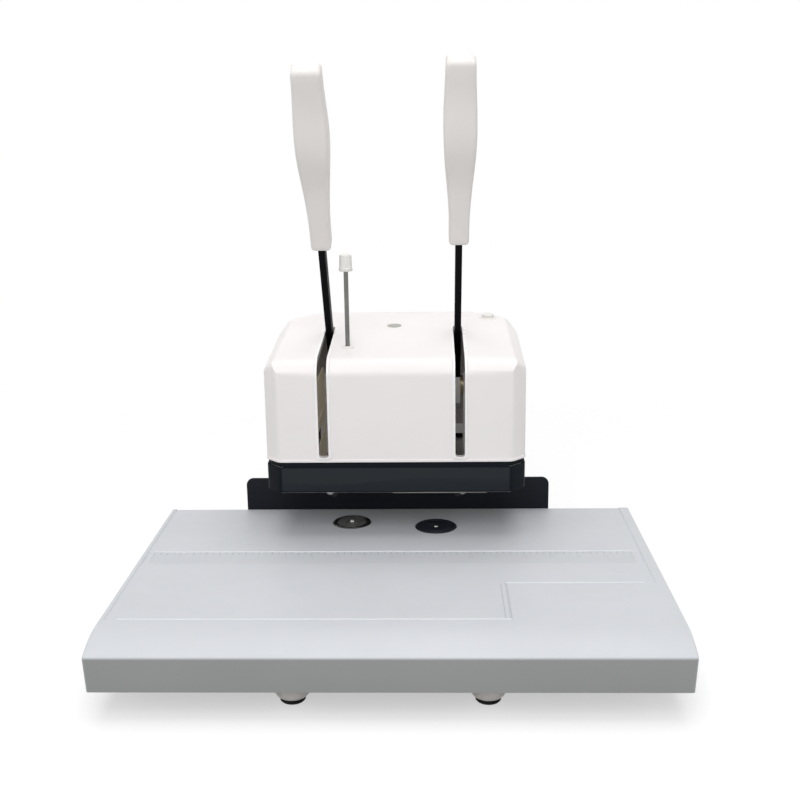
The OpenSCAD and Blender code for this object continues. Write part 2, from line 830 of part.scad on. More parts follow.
module hood() {
  color("white") difference() {
    union() {
      hood_form(0, hood_z);
      intersection() {
        hood_form(-rim_h, hood_z);
        for (x = [lever_x_left, lever_x_right]) slot_form(x, slot_w + 2 * rim_w);
      }
      translate([0, 0, hood_z - tongue_h]) linear_extrude(2 * tongue_h) head_plan(skirt_wall + fit);
    }
    hood_form(hood_wall, hood_z + tongue_h);
    translate([0, 0, hood_z - tongue_h - 1])
      linear_extrude(2 * tongue_h + 2) head_plan(skirt_wall + fit + tongue_t);
    for (x = [lever_x_left, lever_x_right]) slot_form(x, slot_w);
    hood_bolts(screw_r + fit, head_w / 2 - 4 * skirt_wall, head_w / 2 + 1);
    translate([drill_x, drill_y, hood_z]) cylinder(r = ejector_bush_r + fit, h = 2 * hood_h);
    on_hood(mech_x, bed_back_y + lens_back) translate([0, 0, -cut]) cylinder(r = lens_r + fit, h = 2 * cut);
    on_hood(button_x, head_rear_y - button_in) translate([0, 0, -cut / 2])
      cylinder(r = button_r + gap, h = cut);
    for (i = [0:vent_n - 1])
      translate([(i - (vent_n - 1) / 2) * vent_pitch, 0, hood_z + hood_h / 2])
        block([-vent_w / 2, head_rear_y - 2 * hood_wall, -vent_h / 2],
          [vent_w / 2, head_rear_y + 1, vent_h / 2]);
  }
}

module guide_rods() {
  color("gainsboro") at_rods() translate([0, 0, plate_z]) cylinder(r = rod_r, h = tie_z + tie_t - plate_z);
}

module tie_plate() {
  xs = [for (p = concat(rods_left, rods_right)) p[0]];
  ys = [for (p = concat(rods_left, rods_right)) p[1]];
  margin = rod_r + 2;
  color("slategray") difference() {
    block([min(xs) - margin, min(ys) - margin, tie_z], [max(xs) + margin, max(ys) + margin, tie_z + tie_t]);
    at_rods() translate([0, 0, tie_z - 1]) cylinder(r = rod_r + fit, h = tie_t + 2);
    translate([drill_x, drill_y, tie_z - 1]) cylinder(r = ejector_r + gap, h = tie_t + 2);
  }
}

module shaft_bracket(x0) {
  half = eye_r + 4;
  color("slategray") difference() {
    extrude_x(x0, bracket_t) union() {
      polygon([
        [pivot_y - half, plate_top], [pivot_y + half, plate_top],
        [pivot_y + hub_r, pivot_z], [pivot_y - hub_r, pivot_z]
      ]);
      translate([pivot_y, pivot_z]) circle(r = hub_r + hub_wall);
    }
    translate([0, pivot_y, pivot_z]) bar_x(x0 - 1, bracket_t + 2, shaft_r + fit);
  }
}

module shaft_brackets() {
  shaft_bracket(bracket_left_x - bracket_t);
  shaft_bracket(mech_x - bracket_t / 2);
  shaft_bracket(bracket_right_x);
}

module lever_shaft() {
  low = bracket_left_x - bracket_t;
  high = bracket_right_x + bracket_t;
  color("gainsboro") translate([0, pivot_y, pivot_z]) union() {
    bar_x(low - hub_wall, high - low + 2 * hub_wall, shaft_r);
    bar_x(low - hub_wall, hub_wall, shaft_r + hub_wall);
    bar_x(high, hub_wall, shaft_r + hub_wall);
  }
}

module ejector_bush() {
  low = hood_top(drill_y) - 2 * hood_wall;
  color("whitesmoke") translate([drill_x, drill_y, low]) difference() {
    cylinder(r = ejector_bush_r, h = ejector_bush_top - low);
    translate([0, 0, -1]) cylinder(r = ejector_r + fit, h = ejector_bush_top - low + 2);
  }
}

module indicator_lens() {
  color("gray") on_hood(mech_x, bed_back_y + lens_back) union() {
    translate([0, 0, -2 * hood_wall]) cylinder(r = lens_r, h = 2 * hood_wall);
    translate([0, 0, -2 * hood_wall]) cylinder(r = lens_r + 1.5, h = hood_wall - gap);
  }
}

module power_inlet() {
  wall = inlet_lip + inlet_wall;
  color("#181818") translate([fitting_x, 0, fitting_z]) union() {
    difference() {
      union() {
        panel(inlet_w, inlet_h, 0, head_rear_y, head_rear_y + inlet_flange_t);
        panel(inlet_w, inlet_h, inlet_lip + fit, column_back_y - inlet_depth, head_rear_y + 1);
      }
      panel(inlet_w, inlet_h, wall, column_back_y - inlet_depth + 2 * inlet_wall, head_rear_y + cut);
    }
    for (x = [-1, 0, 1])
      translate([x * inlet_w / 5, 0, inlet_h / 6])
        panel(2 * inlet_pin_half, 2 * inlet_pin_half, 0,
          column_back_y - inlet_depth + inlet_wall, column_back_y - inlet_depth + inlet_wall + inlet_pin_len);
  }
}

module switch_bezel() {
  wall = switch_lip + switch_wall;
  pin = switch_w - 2 * switch_lip - switch_wall;
  color("#181818") translate([-fitting_x, 0, fitting_z]) difference() {
    union() {
      panel(switch_w, switch_h, 0, head_rear_y, head_rear_y + switch_flange_t);
      panel(switch_w, switch_h, switch_lip + fit, column_back_y - switch_depth, head_rear_y + 1);
    }
    panel(switch_w, switch_h, wall, column_back_y - switch_depth + switch_wall, head_rear_y + cut);
    translate([0, head_rear_y, 0]) bar_x(-pin / 2, pin, rocker_pin_r + fit);
  }
}

// Rocker in its off position; it turns on two short pins
module power_rocker() {
  wall = switch_lip + switch_wall;
  half = switch_h / 2 - wall - gap;
  width = switch_w - 2 * wall - 2 * gap;
  pin = switch_w - 2 * switch_lip - switch_wall - 2 * fit;
  color("#a01818") translate([-fitting_x, head_rear_y, fitting_z]) union() {
    rotate([rocker_swing / 2, 0, 0]) intersection() {
      bar_x(-width / 2, width, half);
      block([-switch_w, -switch_h, -switch_h], [switch_w, half - rocker_pin_r, switch_h]);
    }
    bar_x(-pin / 2, pin, rocker_pin_r);
  }
}

module control_board() {
  front = standoff_h + board_t / 2;
  color("seagreen") translate([0, fence_back_y + column_t, fitting_z]) union() {
    for (x = [-1, 1])
      for (z = [-1, 1])
        translate([x * (board_w / 2 - standoff_in), 0, z * (board_h / 2 - standoff_in)])
          bar_y(0, front, standoff_r);
    panel(board_w, board_h, 0, standoff_h, standoff_h + board_t);
    translate([-board_w / 4, 0, 0]) panel(transformer[0], transformer[2], 0, front, front + transformer[1]);
    for (x = [1, 2.4])
      translate([x * relay[0], 0, relay[2] / 2]) panel(relay[0], relay[2], 0, front, front + relay[1]);
    translate([relay[0], 0, -relay[2]]) bar_y(front, capacitor_h, capacitor_r);
  }
}

// Tube round a path, as rings of six points joined by triangles
module tube(path, r) {
  sides = 6;
  last = len(path) - 1;
  ring = function (i)
    let (d = path[min(i + 1, last)] - path[max(i - 1, 0)])
    let (t = d / norm(d))
    let (u = cross(t, [1, 0, 0]) / norm(cross(t, [1, 0, 0])))
    let (v = cross(t, u))
    [for (k = [0:sides - 1]) path[i] + r * (cos(60 * k) * u + sin(60 * k) * v)];
  points = concat([for (i = [0:last]) each ring(i)], [path[0], path[last]]);
  walls = [
    for (i = [0:last - 1])
      for (k = [0:sides - 1])
        let (a = i * sides + k, b = i * sides + (k + 1) % sides)
        each [[a, a + sides, b], [b, a + sides, b + sides]]
  ];
  ends = [
    for (k = [0:sides - 1])
      each [
        [sides * (last + 1), k, (k + 1) % sides],
        [sides * (last + 1) + 1, last * sides + (k + 1) % sides, last * sides + k]
      ]
  ];
  polyhedron(points, concat(walls, ends));
}

module return_spring_left() {
  color("gainsboro") translate([spring_left_x, pivot_y, pivot_z])
    tube([for (p = spring_path) [spring_len - p[0], p[1], p[2]]], wire_r);
}

module return_spring_right() {
  color("gainsboro") translate([spring_right_x - spring_len, pivot_y, pivot_z]) tube(spring_path, wire_r);
}

// Frame of a lever, with +Z along its bar
module lever_frame(x, lean) {
  translate([x, pivot_y, pivot_z]) rotate([lean, 0, 0]) children();
}

// The two screws that clamp a grip on its bar
module grip_bolts(r, y0, y1) {
  for (z = [grip_start + tang_len / 4, grip_start + 3 * tang_len / 4])
    translate([0, 0, z]) bar_y(y0, y1 - y0, r);
}

module lever_arm(x, lean) {
  color("#1c1c1e") lever_frame(x, lean) difference() {
    union() {
      bar_x(-lever_t / 2, lever_t, eye_r);
      block([-lever_t / 2, -lever_b / 2, 0], [lever_t / 2, lever_b / 2, grip_start + tang_len]);
    }
    bar_x(-lever_t, 2 * lever_t, hub_r + fit);
    grip_bolts(screw_r + fit, -lever_b, lever_b);
  }
}

module lever_arm_left() {
  lever_arm(lever_x_left, lean_left);
}

module lever_arm_right() {
  lever_arm(lever_x_right, lean_right);
}

// Sector gear with its sleeve: the gear starts at x0, the sleeve runs from s0 to s1
module sector_gear(x0, s0, s1) {
  step = 360 / sector_teeth;
  above = ceil(press_angle / step) + 2;
  color("darkkhaki") difference() {
    union() {
      translate([0, pivot_y, pivot_z]) {
        extrude_x(x0, sector_w) polygon(concat(
          [[0, 0]],
          [for (k = [-above:2]) each tooth(sector_teeth, sector_module, 180 + k * step)]
        ));
        bar_x(x0, sector_w, eye_r);
        bar_x(s0, s1 - s0, hub_r);
      }
    }
    translate([0, pivot_y, pivot_z]) bar_x(s0 - 1, s1 - s0 + 2, shaft_r + fit);
  }
}

module sector_gear_left() {
  sector_gear(lever_x_left + lever_t / 2, bracket_left_x + gap, mech_x - bracket_t / 2 - gap);
}

module sector_gear_right() {
  sector_gear(lever_x_right - lever_t / 2 - sector_w, mech_x + bracket_t / 2 + gap, bracket_right_x - gap);
}

// Width and depth of a grip at a height above its lower end
function grip_w(h) = h < grip_bulge
  ? ease(grip_low_w, grip_max_w, (h - grip_len / 15) / (grip_bulge - grip_len / 15))
  : ease(grip_max_w, grip_top_w, (h - grip_bulge) / (grip_len - grip_bulge));
function grip_d(h) = h < grip_bulge
  ? ease(grip_low_d, grip_max_d, h / grip_bulge)
  : ease(grip_max_d, grip_top_d, (h - grip_bulge) / (grip_len - grip_bulge));

// Whole form of a grip: its front and side outlines cut together
module grip_form() {
  steps = 26;
  levels = [for (i = [0:steps]) grip_len * i / steps];
  translate([0, 0, grip_start]) intersection() {
    extrude_y(-grip_max_d, 2 * grip_max_d) polygon(concat(
      [for (h = levels) [grip_w(h) / 2, h]],
      [for (i = [steps:-1:0]) [-grip_w(levels[i]) / 2, levels[i]]]
    ));
    extrude_x(-grip_max_w, 2 * grip_max_w) polygon(concat(
      [for (h = levels) [grip_d(h) / 2, h]],
      [for (i = [steps:-1:0]) [-grip_d(levels[i]) / 2, levels[i]]]
    ));
  }
}

// One half of a grip; side is -1 at the front and +1 at the back
module grip_half(x, lean, side) {
  far = 2 * grip_max_d;
  color("ivory") lever_frame(x, lean) difference() {
    grip_form();
    block([-far, min(0, -side * far), 0], [far, max(0, -side * far), grip_start + grip_len + 1]);
    block([-lever_t / 2 - fit, -lever_b / 2 - fit, 0],
      [lever_t / 2 + fit, lever_b / 2 + fit, grip_start + tang_len + fit]);
    grip_bolts(screw_r + fit, side < 0 ? -lever_b / 2 - 2 : 0, side < 0 ? 0 : far);
    if (side > 0) grip_bolts(2 * screw_r + fit, lever_b / 2 + 1, far);
  }
}

module grip_front_left() {
  grip_half(lever_x_left, lean_left, -1);
}

module grip_back_left() {
  grip_half(lever_x_left, lean_left, 1);
}

module grip_front_right() {
  grip_half(lever_x_right, lean_right, -1);
}

module grip_back_right() {
  grip_half(lever_x_right, lean_right, 1);
}

module grip_screws(x, lean) {
  color("gray") lever_frame(x, lean) union() {
    grip_bolts(screw_r, -lever_b / 2 - 1.5, lever_b / 2 + 2);
    grip_bolts(2 * screw_r, lever_b / 2 + 1, lever_b / 2 + 1 + screw_r);
  }
}

module grip_screws_left() {
  grip_screws(lever_x_left, lean_left);
}

module grip_screws_right() {
  grip_screws(lever_x_right, lean_right);
}

// Slab and bushes of a carriage between two sides, on a pair of rods
module carriage_body(x0, x1, front, rods) {
  block([x0, front, slab_z], [x1, slab_back_y, slab_z + slab_t]);
  for (p = rods)
    translate([p[0], p[1], slab_z]) cylinder(r = bush_r, h = bush_h);
}

module rod_bores(rods) {
  for (p = rods)
    translate([p[0], p[1], slab_z - 1]) cylinder(r = rod_r + fit, h = bush_h + 2);
}

module carriage_left() {
  x1 = max(motor_x + motor_r, rods_left[0][0] + bush_r) + 2;
  front = rods_left[0][1] - bush_r - 1;
  color("darkkhaki") difference() {
    union() {
      carriage_body(slab_left_x, x1, front, rods_left);
      translate([drill_x, drill_y, slab_z]) cylinder(r = housing_r, h = bush_h);
    }
    rod_bores(rods_left);
    translate([drill_x, drill_y, slab_z - 1]) cylinder(r = spindle_r + 2, h = bush_h + 2);
    for (z = [slab_z - 1, bush_top - bearing_h])
      translate([drill_x, drill_y, z]) cylinder(r = bearing_r + fit, h = bearing_h + 1);
    translate([motor_x, motor_y, slab_z + 1]) cylinder(r = motor_r + fit, h = bush_h);
  }
}

module spindle_bearings() {
  color("gainsboro") difference() {
    for (z = [slab_z, bush_top - bearing_h])
      translate([drill_x, drill_y, z]) cylinder(r = bearing_r, h = bearing_h);
    translate([drill_x, drill_y, slab_z - 1]) cylinder(r = spindle_r + fit, h = bush_h + 2);
  }
}

module motor_body() {
  color("silver") translate([motor_x, motor_y, slab_z + 1]) difference() {
    union() {
      cylinder(r = motor_r, h = motor_h);
      cylinder(r = motor_r / 3, h = motor_h + 1);
    }
    translate([0, 0, motor_h - 8]) cylinder(r = screw_r + fit, h = 10);
  }
}

module motor_pinion() {
  low = slab_z + 1 + motor_h - 8 + gap;
  color("goldenrod") translate([motor_x, motor_y, 0]) union() {
    translate([0, 0, small_gear_z]) linear_extrude(spindle_gear_w)
      gear_outline(pinion_teeth, spindle_module, 180 + motor_angle + 180 / pinion_teeth);
    translate([0, 0, low]) cylinder(r = screw_r, h = small_gear_z + 1 - low);
  }
}

module drill_spindle() {
  color("gainsboro") translate([drill_x, drill_y, spindle_low]) difference() {
    cylinder(r = spindle_r, h = spindle_top - spindle_low);
    translate([0, 0, -1]) cylinder(r = chip_bore_r, h = spindle_top - spindle_low + 2);
  }
}

module spindle_gear() {
  color("goldenrod") translate([drill_x, drill_y, small_gear_z]) difference() {
    linear_extrude(spindle_gear_w) gear_outline(spindle_teeth, spindle_module, motor_angle);
    translate([0, 0, -1]) cylinder(r = spindle_r + fit, h = spindle_gear_w + 2);
  }
}

module collet_nut() {
  color("dimgray") translate([drill_x, drill_y, collet_z]) difference() {
    cylinder(r = collet_r, h = collet_h);
    translate([0, 0, -1]) cylinder(r = bit_r + fit, h = collet_h + 2);
    translate([0, 0, collet_h / 2]) cylinder(r = spindle_r + fit, h = collet_h);
  }
}

module drill_bit() {
  color("gainsboro") translate([drill_x, drill_y, tip_z]) difference() {
    cylinder(r = bit_r, h = spindle_low - tip_z);
    translate([0, 0, -1]) cylinder(r = chip_bore_r, h = spindle_low - tip_z + 2);
  }
}

// Toothed rack on the back of a carriage; its teeth mesh with the sector gear at rest
module rack(x0) {
  pitch = PI * sector_module;
  low = slab_z + 2;
  high = pivot_z + stroke + pitch / 2;
  tip = rack_y + sector_module;
  root = rack_y - 1.25 * sector_module;
  tip_half = pitch / 4 - sector_module * tan(pressure_angle) - flank_gap / 2;
  root_half = pitch / 4 + 1.25 * sector_module * tan(pressure_angle) - flank_gap / 2;
  first = ceil((low - pivot_z) / pitch);
  last = floor((high - pivot_z) / pitch) - 1;
  color("gainsboro") extrude_x(x0, rack_w) polygon(concat(
    [[slab_back_y, high], [slab_back_y, low], [root, low]],
    [for (k = [first:last]) let (z = pivot_z + (k + 0.5) * pitch)
      each [[root, z - root_half], [tip, z - tip_half], [tip, z + tip_half], [root, z + root_half]]],
    [[root, high]]
  ));
}

module rack_left() {
  rack(slab_left_x);
}

module rack_right() {
  rack(slab_right_x - rack_w);
}

module carriage_right() {
  x0 = rods_right[0][0] - bush_r - 1;
  front = min(rods_right[0][1] - bush_r, rivet_y - insulator_r) - 1;
  color("darkkhaki") difference() {
    carriage_body(x0, slab_right_x, front, rods_right);
    rod_bores(rods_right);
  }
}

module heat_insulator() {
  color("peru") translate([rivet_x, rivet_y, slab_z - insulator_h])
    cylinder(r = insulator_r, h = insulator_h);
}

module heater_barrel() {
  color("dimgray") translate([rivet_x, rivet_y, slab_z - insulator_h - heater_h])
    cylinder(r = heater_r, h = heater_h);
}

module rivet_die() {
  top = slab_z - insulator_h - heater_h;
  color("goldenrod") translate([rivet_x, rivet_y, tip_z]) difference() {
    cylinder(r = die_r, h = top - tip_z);
    translate([0, 0, -1]) cylinder(r = die_r / 2, h = 3);
  }
}

module ejector_rod() {
  color("silver") translate([drill_x, drill_y, ejector_low])
    cylinder(r = ejector_r, h = cap_z + cap_h / 2 - ejector_low);
}

module ejector_cap() {
  color("ivory") translate([drill_x, drill_y, cap_z]) difference() {
    cylinder(r1 = cap_r, r2 = cap_top_r, h = cap_h);
    translate([0, 0, -1]) cylinder(r = ejector_r + fit, h = 1 + cap_h / 2);
  }
}

module push_button() {
  color("ivory") on_hood(button_x, head_rear_y - button_in) union() {
    translate([0, 0, -2 * hood_wall]) cylinder(r = button_r, h = 2 * hood_wall + button_show);
    translate([0, 0, -2 * hood_wall]) cylinder(r = button_r + button_flange, h = hood_wall - gap);
  }
}

bed_tray();
base_plate();
foot_cups();
foot_pads();
bed_screws();
drill_seat();
drill_pad();
rivet_anvil();
anvil_pin();
anvil_posts();
column_sides();
column_front();
column_cover();
fence_plate();
fence_screws();
head_plate();
head_screws();
stop_screws();
skirt();
hood();
hood_screws();
guide_rods();
tie_plate();
shaft_brackets();
lever_shaft();
ejector_bush();
indicator_lens();
power_inlet();
switch_bezel();
control_board();
return_spring_left();
return_spring_right();
lever_arm_left();
sector_gear_left();
grip_front_left();
grip_back_left();
grip_screws_left();
lever_arm_right();
sector_gear_right();
grip_front_right();
grip_back_right();
grip_screws_right();
carriage_left();
rack_left();
motor_body();
spindle_bearings();
drill_spindle();
spindle_gear();
collet_nut();
drill_bit();
motor_pinion();
carriage_right();
rack_right();
heat_insulator();
heater_barrel();
rivet_die();
ejector_rod();
ejector_cap();
push_button();
power_rocker();
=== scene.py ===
"""Looks of a two-lever desk binding machine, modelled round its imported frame.

Sizes are in millimetres and angles in degrees, unless a comment says otherwise.
"""

import logging
import math
from dataclasses import dataclass
from enum import Enum
from typing import Callable, Iterator, Sequence

import bmesh
import bpy
from mathutils import Matrix, Vector


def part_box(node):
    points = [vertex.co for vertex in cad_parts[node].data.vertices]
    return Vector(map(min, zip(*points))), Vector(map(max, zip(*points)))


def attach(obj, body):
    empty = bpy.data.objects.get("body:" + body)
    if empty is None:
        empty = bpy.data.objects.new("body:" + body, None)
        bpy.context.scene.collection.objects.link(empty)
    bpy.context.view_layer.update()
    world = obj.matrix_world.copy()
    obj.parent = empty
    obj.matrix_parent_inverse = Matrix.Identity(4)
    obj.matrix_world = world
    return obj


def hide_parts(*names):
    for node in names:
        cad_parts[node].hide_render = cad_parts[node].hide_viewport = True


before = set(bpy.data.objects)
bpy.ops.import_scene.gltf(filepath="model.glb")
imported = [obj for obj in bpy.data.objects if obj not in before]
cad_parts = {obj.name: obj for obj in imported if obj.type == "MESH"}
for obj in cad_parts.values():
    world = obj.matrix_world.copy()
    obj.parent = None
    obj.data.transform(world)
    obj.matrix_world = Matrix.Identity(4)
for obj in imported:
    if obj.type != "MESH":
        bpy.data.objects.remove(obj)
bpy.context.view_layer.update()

LOG = logging.getLogger("binding_machine")

# Metres in a millimetre
MM = 0.001
# A point this near a place counts as lying on it
NEAR = 0.05
# Points nearer than this are merged
MERGE = 0.002
# Cosines from which a direction counts as lined up with another, and as leaning towards it
ALIGNED = 0.9
LEANING = 0.5
# How far a cutter stands out past what it cuts, and how long one is that goes right through
CLEAR = 1.0
THROUGH = 40.0
# How far a strip reaches into the surface that carries it
SUNK = 0.1
# Share of a half width to which a bevel still rounds it cleanly
FULL_ROUND = 0.995
# A quarter turn in degrees
QUARTER = 90.0

RIGHT = Vector((1, 0, 0))
BACK = Vector((0, 1, 0))
UP = Vector((0, 0, 1))
SIDES = ("left", "right")

Triple = tuple[float, float, float]
Ring = tuple[float, float]
Rings = tuple[Ring, ...]
Test = Callable[[Vector, Vector], bool]
Socket = bpy.types.NodeSocket


class Pick(Enum):
    """What a selection on the bench takes."""

    POINT = "VERT"
    EDGE = "EDGE"
    FACE = "FACE"


class Axis(Enum):
    """Direction of a round bar, as the turn that lays an upright one along it."""

    X = (0.0, math.pi / 2, 0.0)
    Y = (math.pi / 2, 0.0, 0.0)
    Z = (0.0, 0.0, 0.0)


class Grain(Enum):
    """Lay of a metal's tool marks, as the stretch of its noise along X, Y and Z."""

    ALONG_X = (0.04, 1.0, 1.0)
    ALONG_Z = (1.0, 1.0, 0.04)
    TURNED = (0.08, 0.08, 1.0)
    CAST = (1.0, 1.0, 1.0)


def metres(point: Sequence[float]) -> Vector:
    """A point in millimetres as a vector in metres."""
    return Vector(point) * MM


def node_box(node: str) -> tuple[Vector, Vector]:
    """Lowest and highest corner of a frame node."""
    low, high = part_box(node)
    return low / MM, high / MM


def round_node(node: str) -> tuple[Vector, float, float]:
    """Foot point, radius and height of an upright round node."""
    low, high = node_box(node)
    foot = Vector(((low.x + high.x) / 2, (low.y + high.y) / 2, low.z))
    return foot, (high.x - low.x) / 2, high.z - low.z


def shifted(rings: Rings, radius: float, height: float) -> list[Ring]:
    """Rings moved out by a radius and up by a height."""
    return [(radius + out, height + up) for out, up in rings]


def facing(way: Vector) -> Test:
    """Test for faces that look one way."""
    return lambda _, normal: normal.dot(way) > ALIGNED


def lined(way: Vector) -> Test:
    """Test for edges that run, or faces that look, one way or the opposite one."""
    return lambda _, lean: abs(lean.dot(way)) > ALIGNED


def ease(start: float, end: float, share: float) -> float:
    """Smooth step from one value to another.

    Args:
        start: Value at a share of 0.
        end: Value at a share of 1.
        share: How far along, held between 0 and 1.

    Returns:
        The eased value.
    """
    held = min(1.0, max(0.0, share))
    return start + (end - start) * (1 - math.cos(math.pi * held)) / 2


# The bench


class Workpiece:
    """One mesh on the bench. Its tools take millimetres and act on what is picked."""

    def __init__(self, name: str) -> None:
        """Name the object that was just added and put its place into its mesh."""
        self.piece = bpy.context.object
        self.piece.name = name
        self.piece.data.name = name
        bpy.ops.object.transform_apply(location=True, rotation=True, scale=True)

    @staticmethod
    def clear_bench() -> None:
        """Leave edit mode and deselect everything."""
        if bpy.context.mode != "OBJECT":
            bpy.ops.object.mode_set(mode="OBJECT")
        bpy.ops.object.select_all(action="DESELECT")

    @classmethod
    def block(cls, name: str, low: Sequence[float], high: Sequence[float]) -> "Workpiece":
        """Add a block between its lowest and its highest corner."""
        cls.clear_bench()
        middle = (Vector(low) + Vector(high)) / 2
        bpy.ops.mesh.primitive_cube_add(
            size=1, location=metres(middle), scale=metres(Vector(high) - Vector(low)))
        return cls(name)

    @classmethod
    def slab(
        cls, name: str, low: Sequence[float], high: Sequence[float], way: Vector, radius: float,
        segments: int = 4,
    ) -> "Workpiece":
        """Add a block with four rounded edges.

        Args:
            name: Name of the piece.
            low: Lowest corner.
            high: Highest corner.
            way: Direction of the edges.
            radius: Radius of the rounding.
            segments: Number of faces in it.

        Returns:
            The new workpiece.
        """
        work = cls.block(name, low, high)
        work.pick(Pick.EDGE, lined(way)).bevel(radius, segments)
        return work.close()

    @classmethod
    def bar(
        cls, name: str, middle: Sequence[float], radius: float, length: float,
        axis: Axis = Axis.Z, sides: int = 64,
    ) -> "Workpiece":
        """Add a round bar.

        Args:
            name: Name of the piece.
            middle: Middle of the bar.
            radius: Radius of the bar.
            length: Length of the bar.
            axis: Direction of the bar.
            sides: Number of sides.

        Returns:
            The new workpiece.
        """
        cls.clear_bench()
        bpy.ops.mesh.primitive_cylinder_add(
            vertices=sides, radius=radius * MM, depth=length * MM,
            location=metres(middle), rotation=axis.value,
        )
        return cls(name)

    @classmethod
    def turned(
        cls, name: str, foot: Sequence[float], rings: Sequence[Ring], sides: int = 64,
        bored: bool = False,
    ) -> "Workpiece":
        """Turn an upright piece: a circle is extruded from ring to ring and resized.

        Args:
            name: Name of the piece.
            foot: Point on the axis from which heights count.
            rings: Radius and height of each ring, in order along the surface.
            sides: Number of sides.
            bored: Whether the surface closes on itself round a through bore.

        Returns:
            The new workpiece.
        """
        cls.clear_bench()
        radius, height = rings[0]
        base = Vector(foot)
        bpy.ops.mesh.primitive_circle_add(
            vertices=sides, radius=radius * MM, fill_type="NOTHING" if bored else "NGON",
            location=metres(base + height * UP),
        )
        work = cls(name)
        work.enter()
        bpy.ops.mesh.select_mode(type="VERT")
        bpy.ops.mesh.select_all(action="SELECT")
        for next_radius, next_height in [*rings[1:], *(rings[:1] if bored else [])]:
            work.extrude((0, 0, next_height - height))
            factor = next_radius / radius
            work.resize((factor, factor, 1), base + next_height * UP)
            radius, height = next_radius, next_height
        return work.close()

    def hold(self) -> None:
        """Leave edit mode with this piece alone selected and active."""
        self.clear_bench()
        self.piece.select_set(True)
        bpy.context.view_layer.objects.active = self.piece

    def enter(self) -> None:
        """Go into edit mode on this piece alone."""
        if bpy.context.mode == "EDIT_MESH" and bpy.context.object is self.piece:
            return
        self.hold()
        bpy.ops.object.mode_set(mode="EDIT")

    def pick(self, kind: Pick, test: Test) -> "Workpiece":
        """Select by place and direction.

        Args:
            kind: Points, edges or faces.
            test: Takes the middle of an element, and its normal or, for an edge, its direction.

        Returns:
            This workpiece.
        """
        self.enter()
        bpy.ops.mesh.select_mode(type=kind.value)
        bpy.ops.mesh.select_all(action="DESELECT")
        form = bmesh.from_edit_mesh(self.piece.data)
        form.normal_update()
        if kind is Pick.FACE:
            for face in form.faces:
                face.select_set(test(face.calc_center_median() / MM, face.normal))
        elif kind is Pick.EDGE:
            for edge in form.edges:
                first, last = (vert.co for vert in edge.verts)
                edge.select_set(test((first + last) / (2 * MM), (last - first).normalized()))
        else:
            for vert in form.verts:
                vert.select_set(test(vert.co / MM, vert.normal))
        form.select_flush_mode()
        bmesh.update_edit_mesh(self.piece.data)
        return self

    def extrude(self, offset: Sequence[float]) -> None:
        """Extrude what is picked by an offset."""
        bpy.ops.mesh.extrude_region_move(TRANSFORM_OT_translate={"value": metres(offset)})

    def move(self, offset: Sequence[float]) -> None:
        """Move what is picked by an offset."""
        bpy.ops.transform.translate(value=metres(offset))

    def resize(self, factors: Sequence[float], centre: Sequence[float]) -> None:
        """Resize what is picked about a point."""
        bpy.ops.transform.resize(value=factors, center_override=metres(centre))

    def inset(self, width: float, depth: float = 0.0) -> "Workpiece":
        """Inset the picked faces as one region, raised by a depth."""
        bpy.ops.mesh.inset(thickness=width * MM, depth=depth * MM, use_boundary=True)
        return self

    def bevel(self, width: float, segments: int) -> "Workpiece":
        """Round the picked edges."""
        bpy.ops.mesh.bevel(offset=width * MM, segments=segments, affect="EDGES")
        return self

    def drop_faces(self) -> "Workpiece":
        """Delete the picked faces."""
        bpy.ops.mesh.delete(type="FACE")
        return self

    def slice(self, point: Sequence[float], normal: Sequence[float], trim: bool = False) -> None:
        """Cut the whole mesh by a plane.

        Args:
            point: Point on the plane.
            normal: Normal of the plane.
            trim: Whether what lies on the normal's side goes, and the cut is closed.
        """
        self.enter()
        bpy.ops.mesh.select_all(action="SELECT")
        bpy.ops.mesh.bisect(
            plane_co=metres(point), plane_no=normal, use_fill=trim, clear_outer=trim,
            threshold=MERGE * MM,
        )

    def close(self) -> "Workpiece":
        """Merge doubles, turn the faces outwards and leave edit mode."""
        self.enter()
        bpy.ops.mesh.select_all(action="SELECT")
        bpy.ops.mesh.remove_doubles(threshold=MERGE * MM)
        bpy.ops.mesh.normals_make_consistent(inside=False)
        self.hold()
        return self

    def modify(self, kind: str, **settings: object) -> "Workpiece":
        """Add a modifier of a kind with its settings, and apply it."""
        self.hold()
        modifier = self.piece.modifiers.new(kind.lower(), kind)
        for setting, value in settings.items():
            setattr(modifier, setting, value)
        bpy.ops.object.modifier_apply(modifier=modifier.name)
        return self

    def wall(self, thickness: float) -> "Workpiece":
        """Give an open form its wall, on the inner side."""
        return self.modify("SOLIDIFY", thickness=thickness * MM, offset=-1.0, use_even_offset=True)

    def soften(self, width: float, segments: int = 2, angle: float = 40.0) -> "Workpiece":
        """Round every edge that is sharper than an angle."""
        return self.modify(
            "BEVEL", width=width * MM, segments=segments, limit_method="ANGLE",
            angle_limit=math.radians(angle), miter_outer="MITER_ARC", use_clamp_overlap=False,
        )

    def repeat(self, count: int, step: Sequence[float]) -> "Workpiece":
        """Copy the piece in a row."""
        return self.modify(
            "ARRAY", count=count, use_relative_offset=False, use_constant_offset=True,
            constant_offset_displace=metres(step),
        )

    def combine(self, other: "Workpiece", operation: str) -> "Workpiece":
        """Cut, join or intersect with another workpiece, which is used up.

        Args:
            other: The other workpiece.
            operation: DIFFERENCE, UNION or INTERSECT.

        Returns:
            This workpiece.
        """
        other.hold()
        self.modify("BOOLEAN", object=other.piece, operation=operation, solver="MANIFOLD")
        bpy.data.objects.remove(other.piece)
        return self

    def cut(self, *cutters: "Workpiece") -> "Workpiece":
        """Cut with other workpieces, which are used up."""
        for cutter in cutters:
            self.combine(cutter, "DIFFERENCE")
        return self

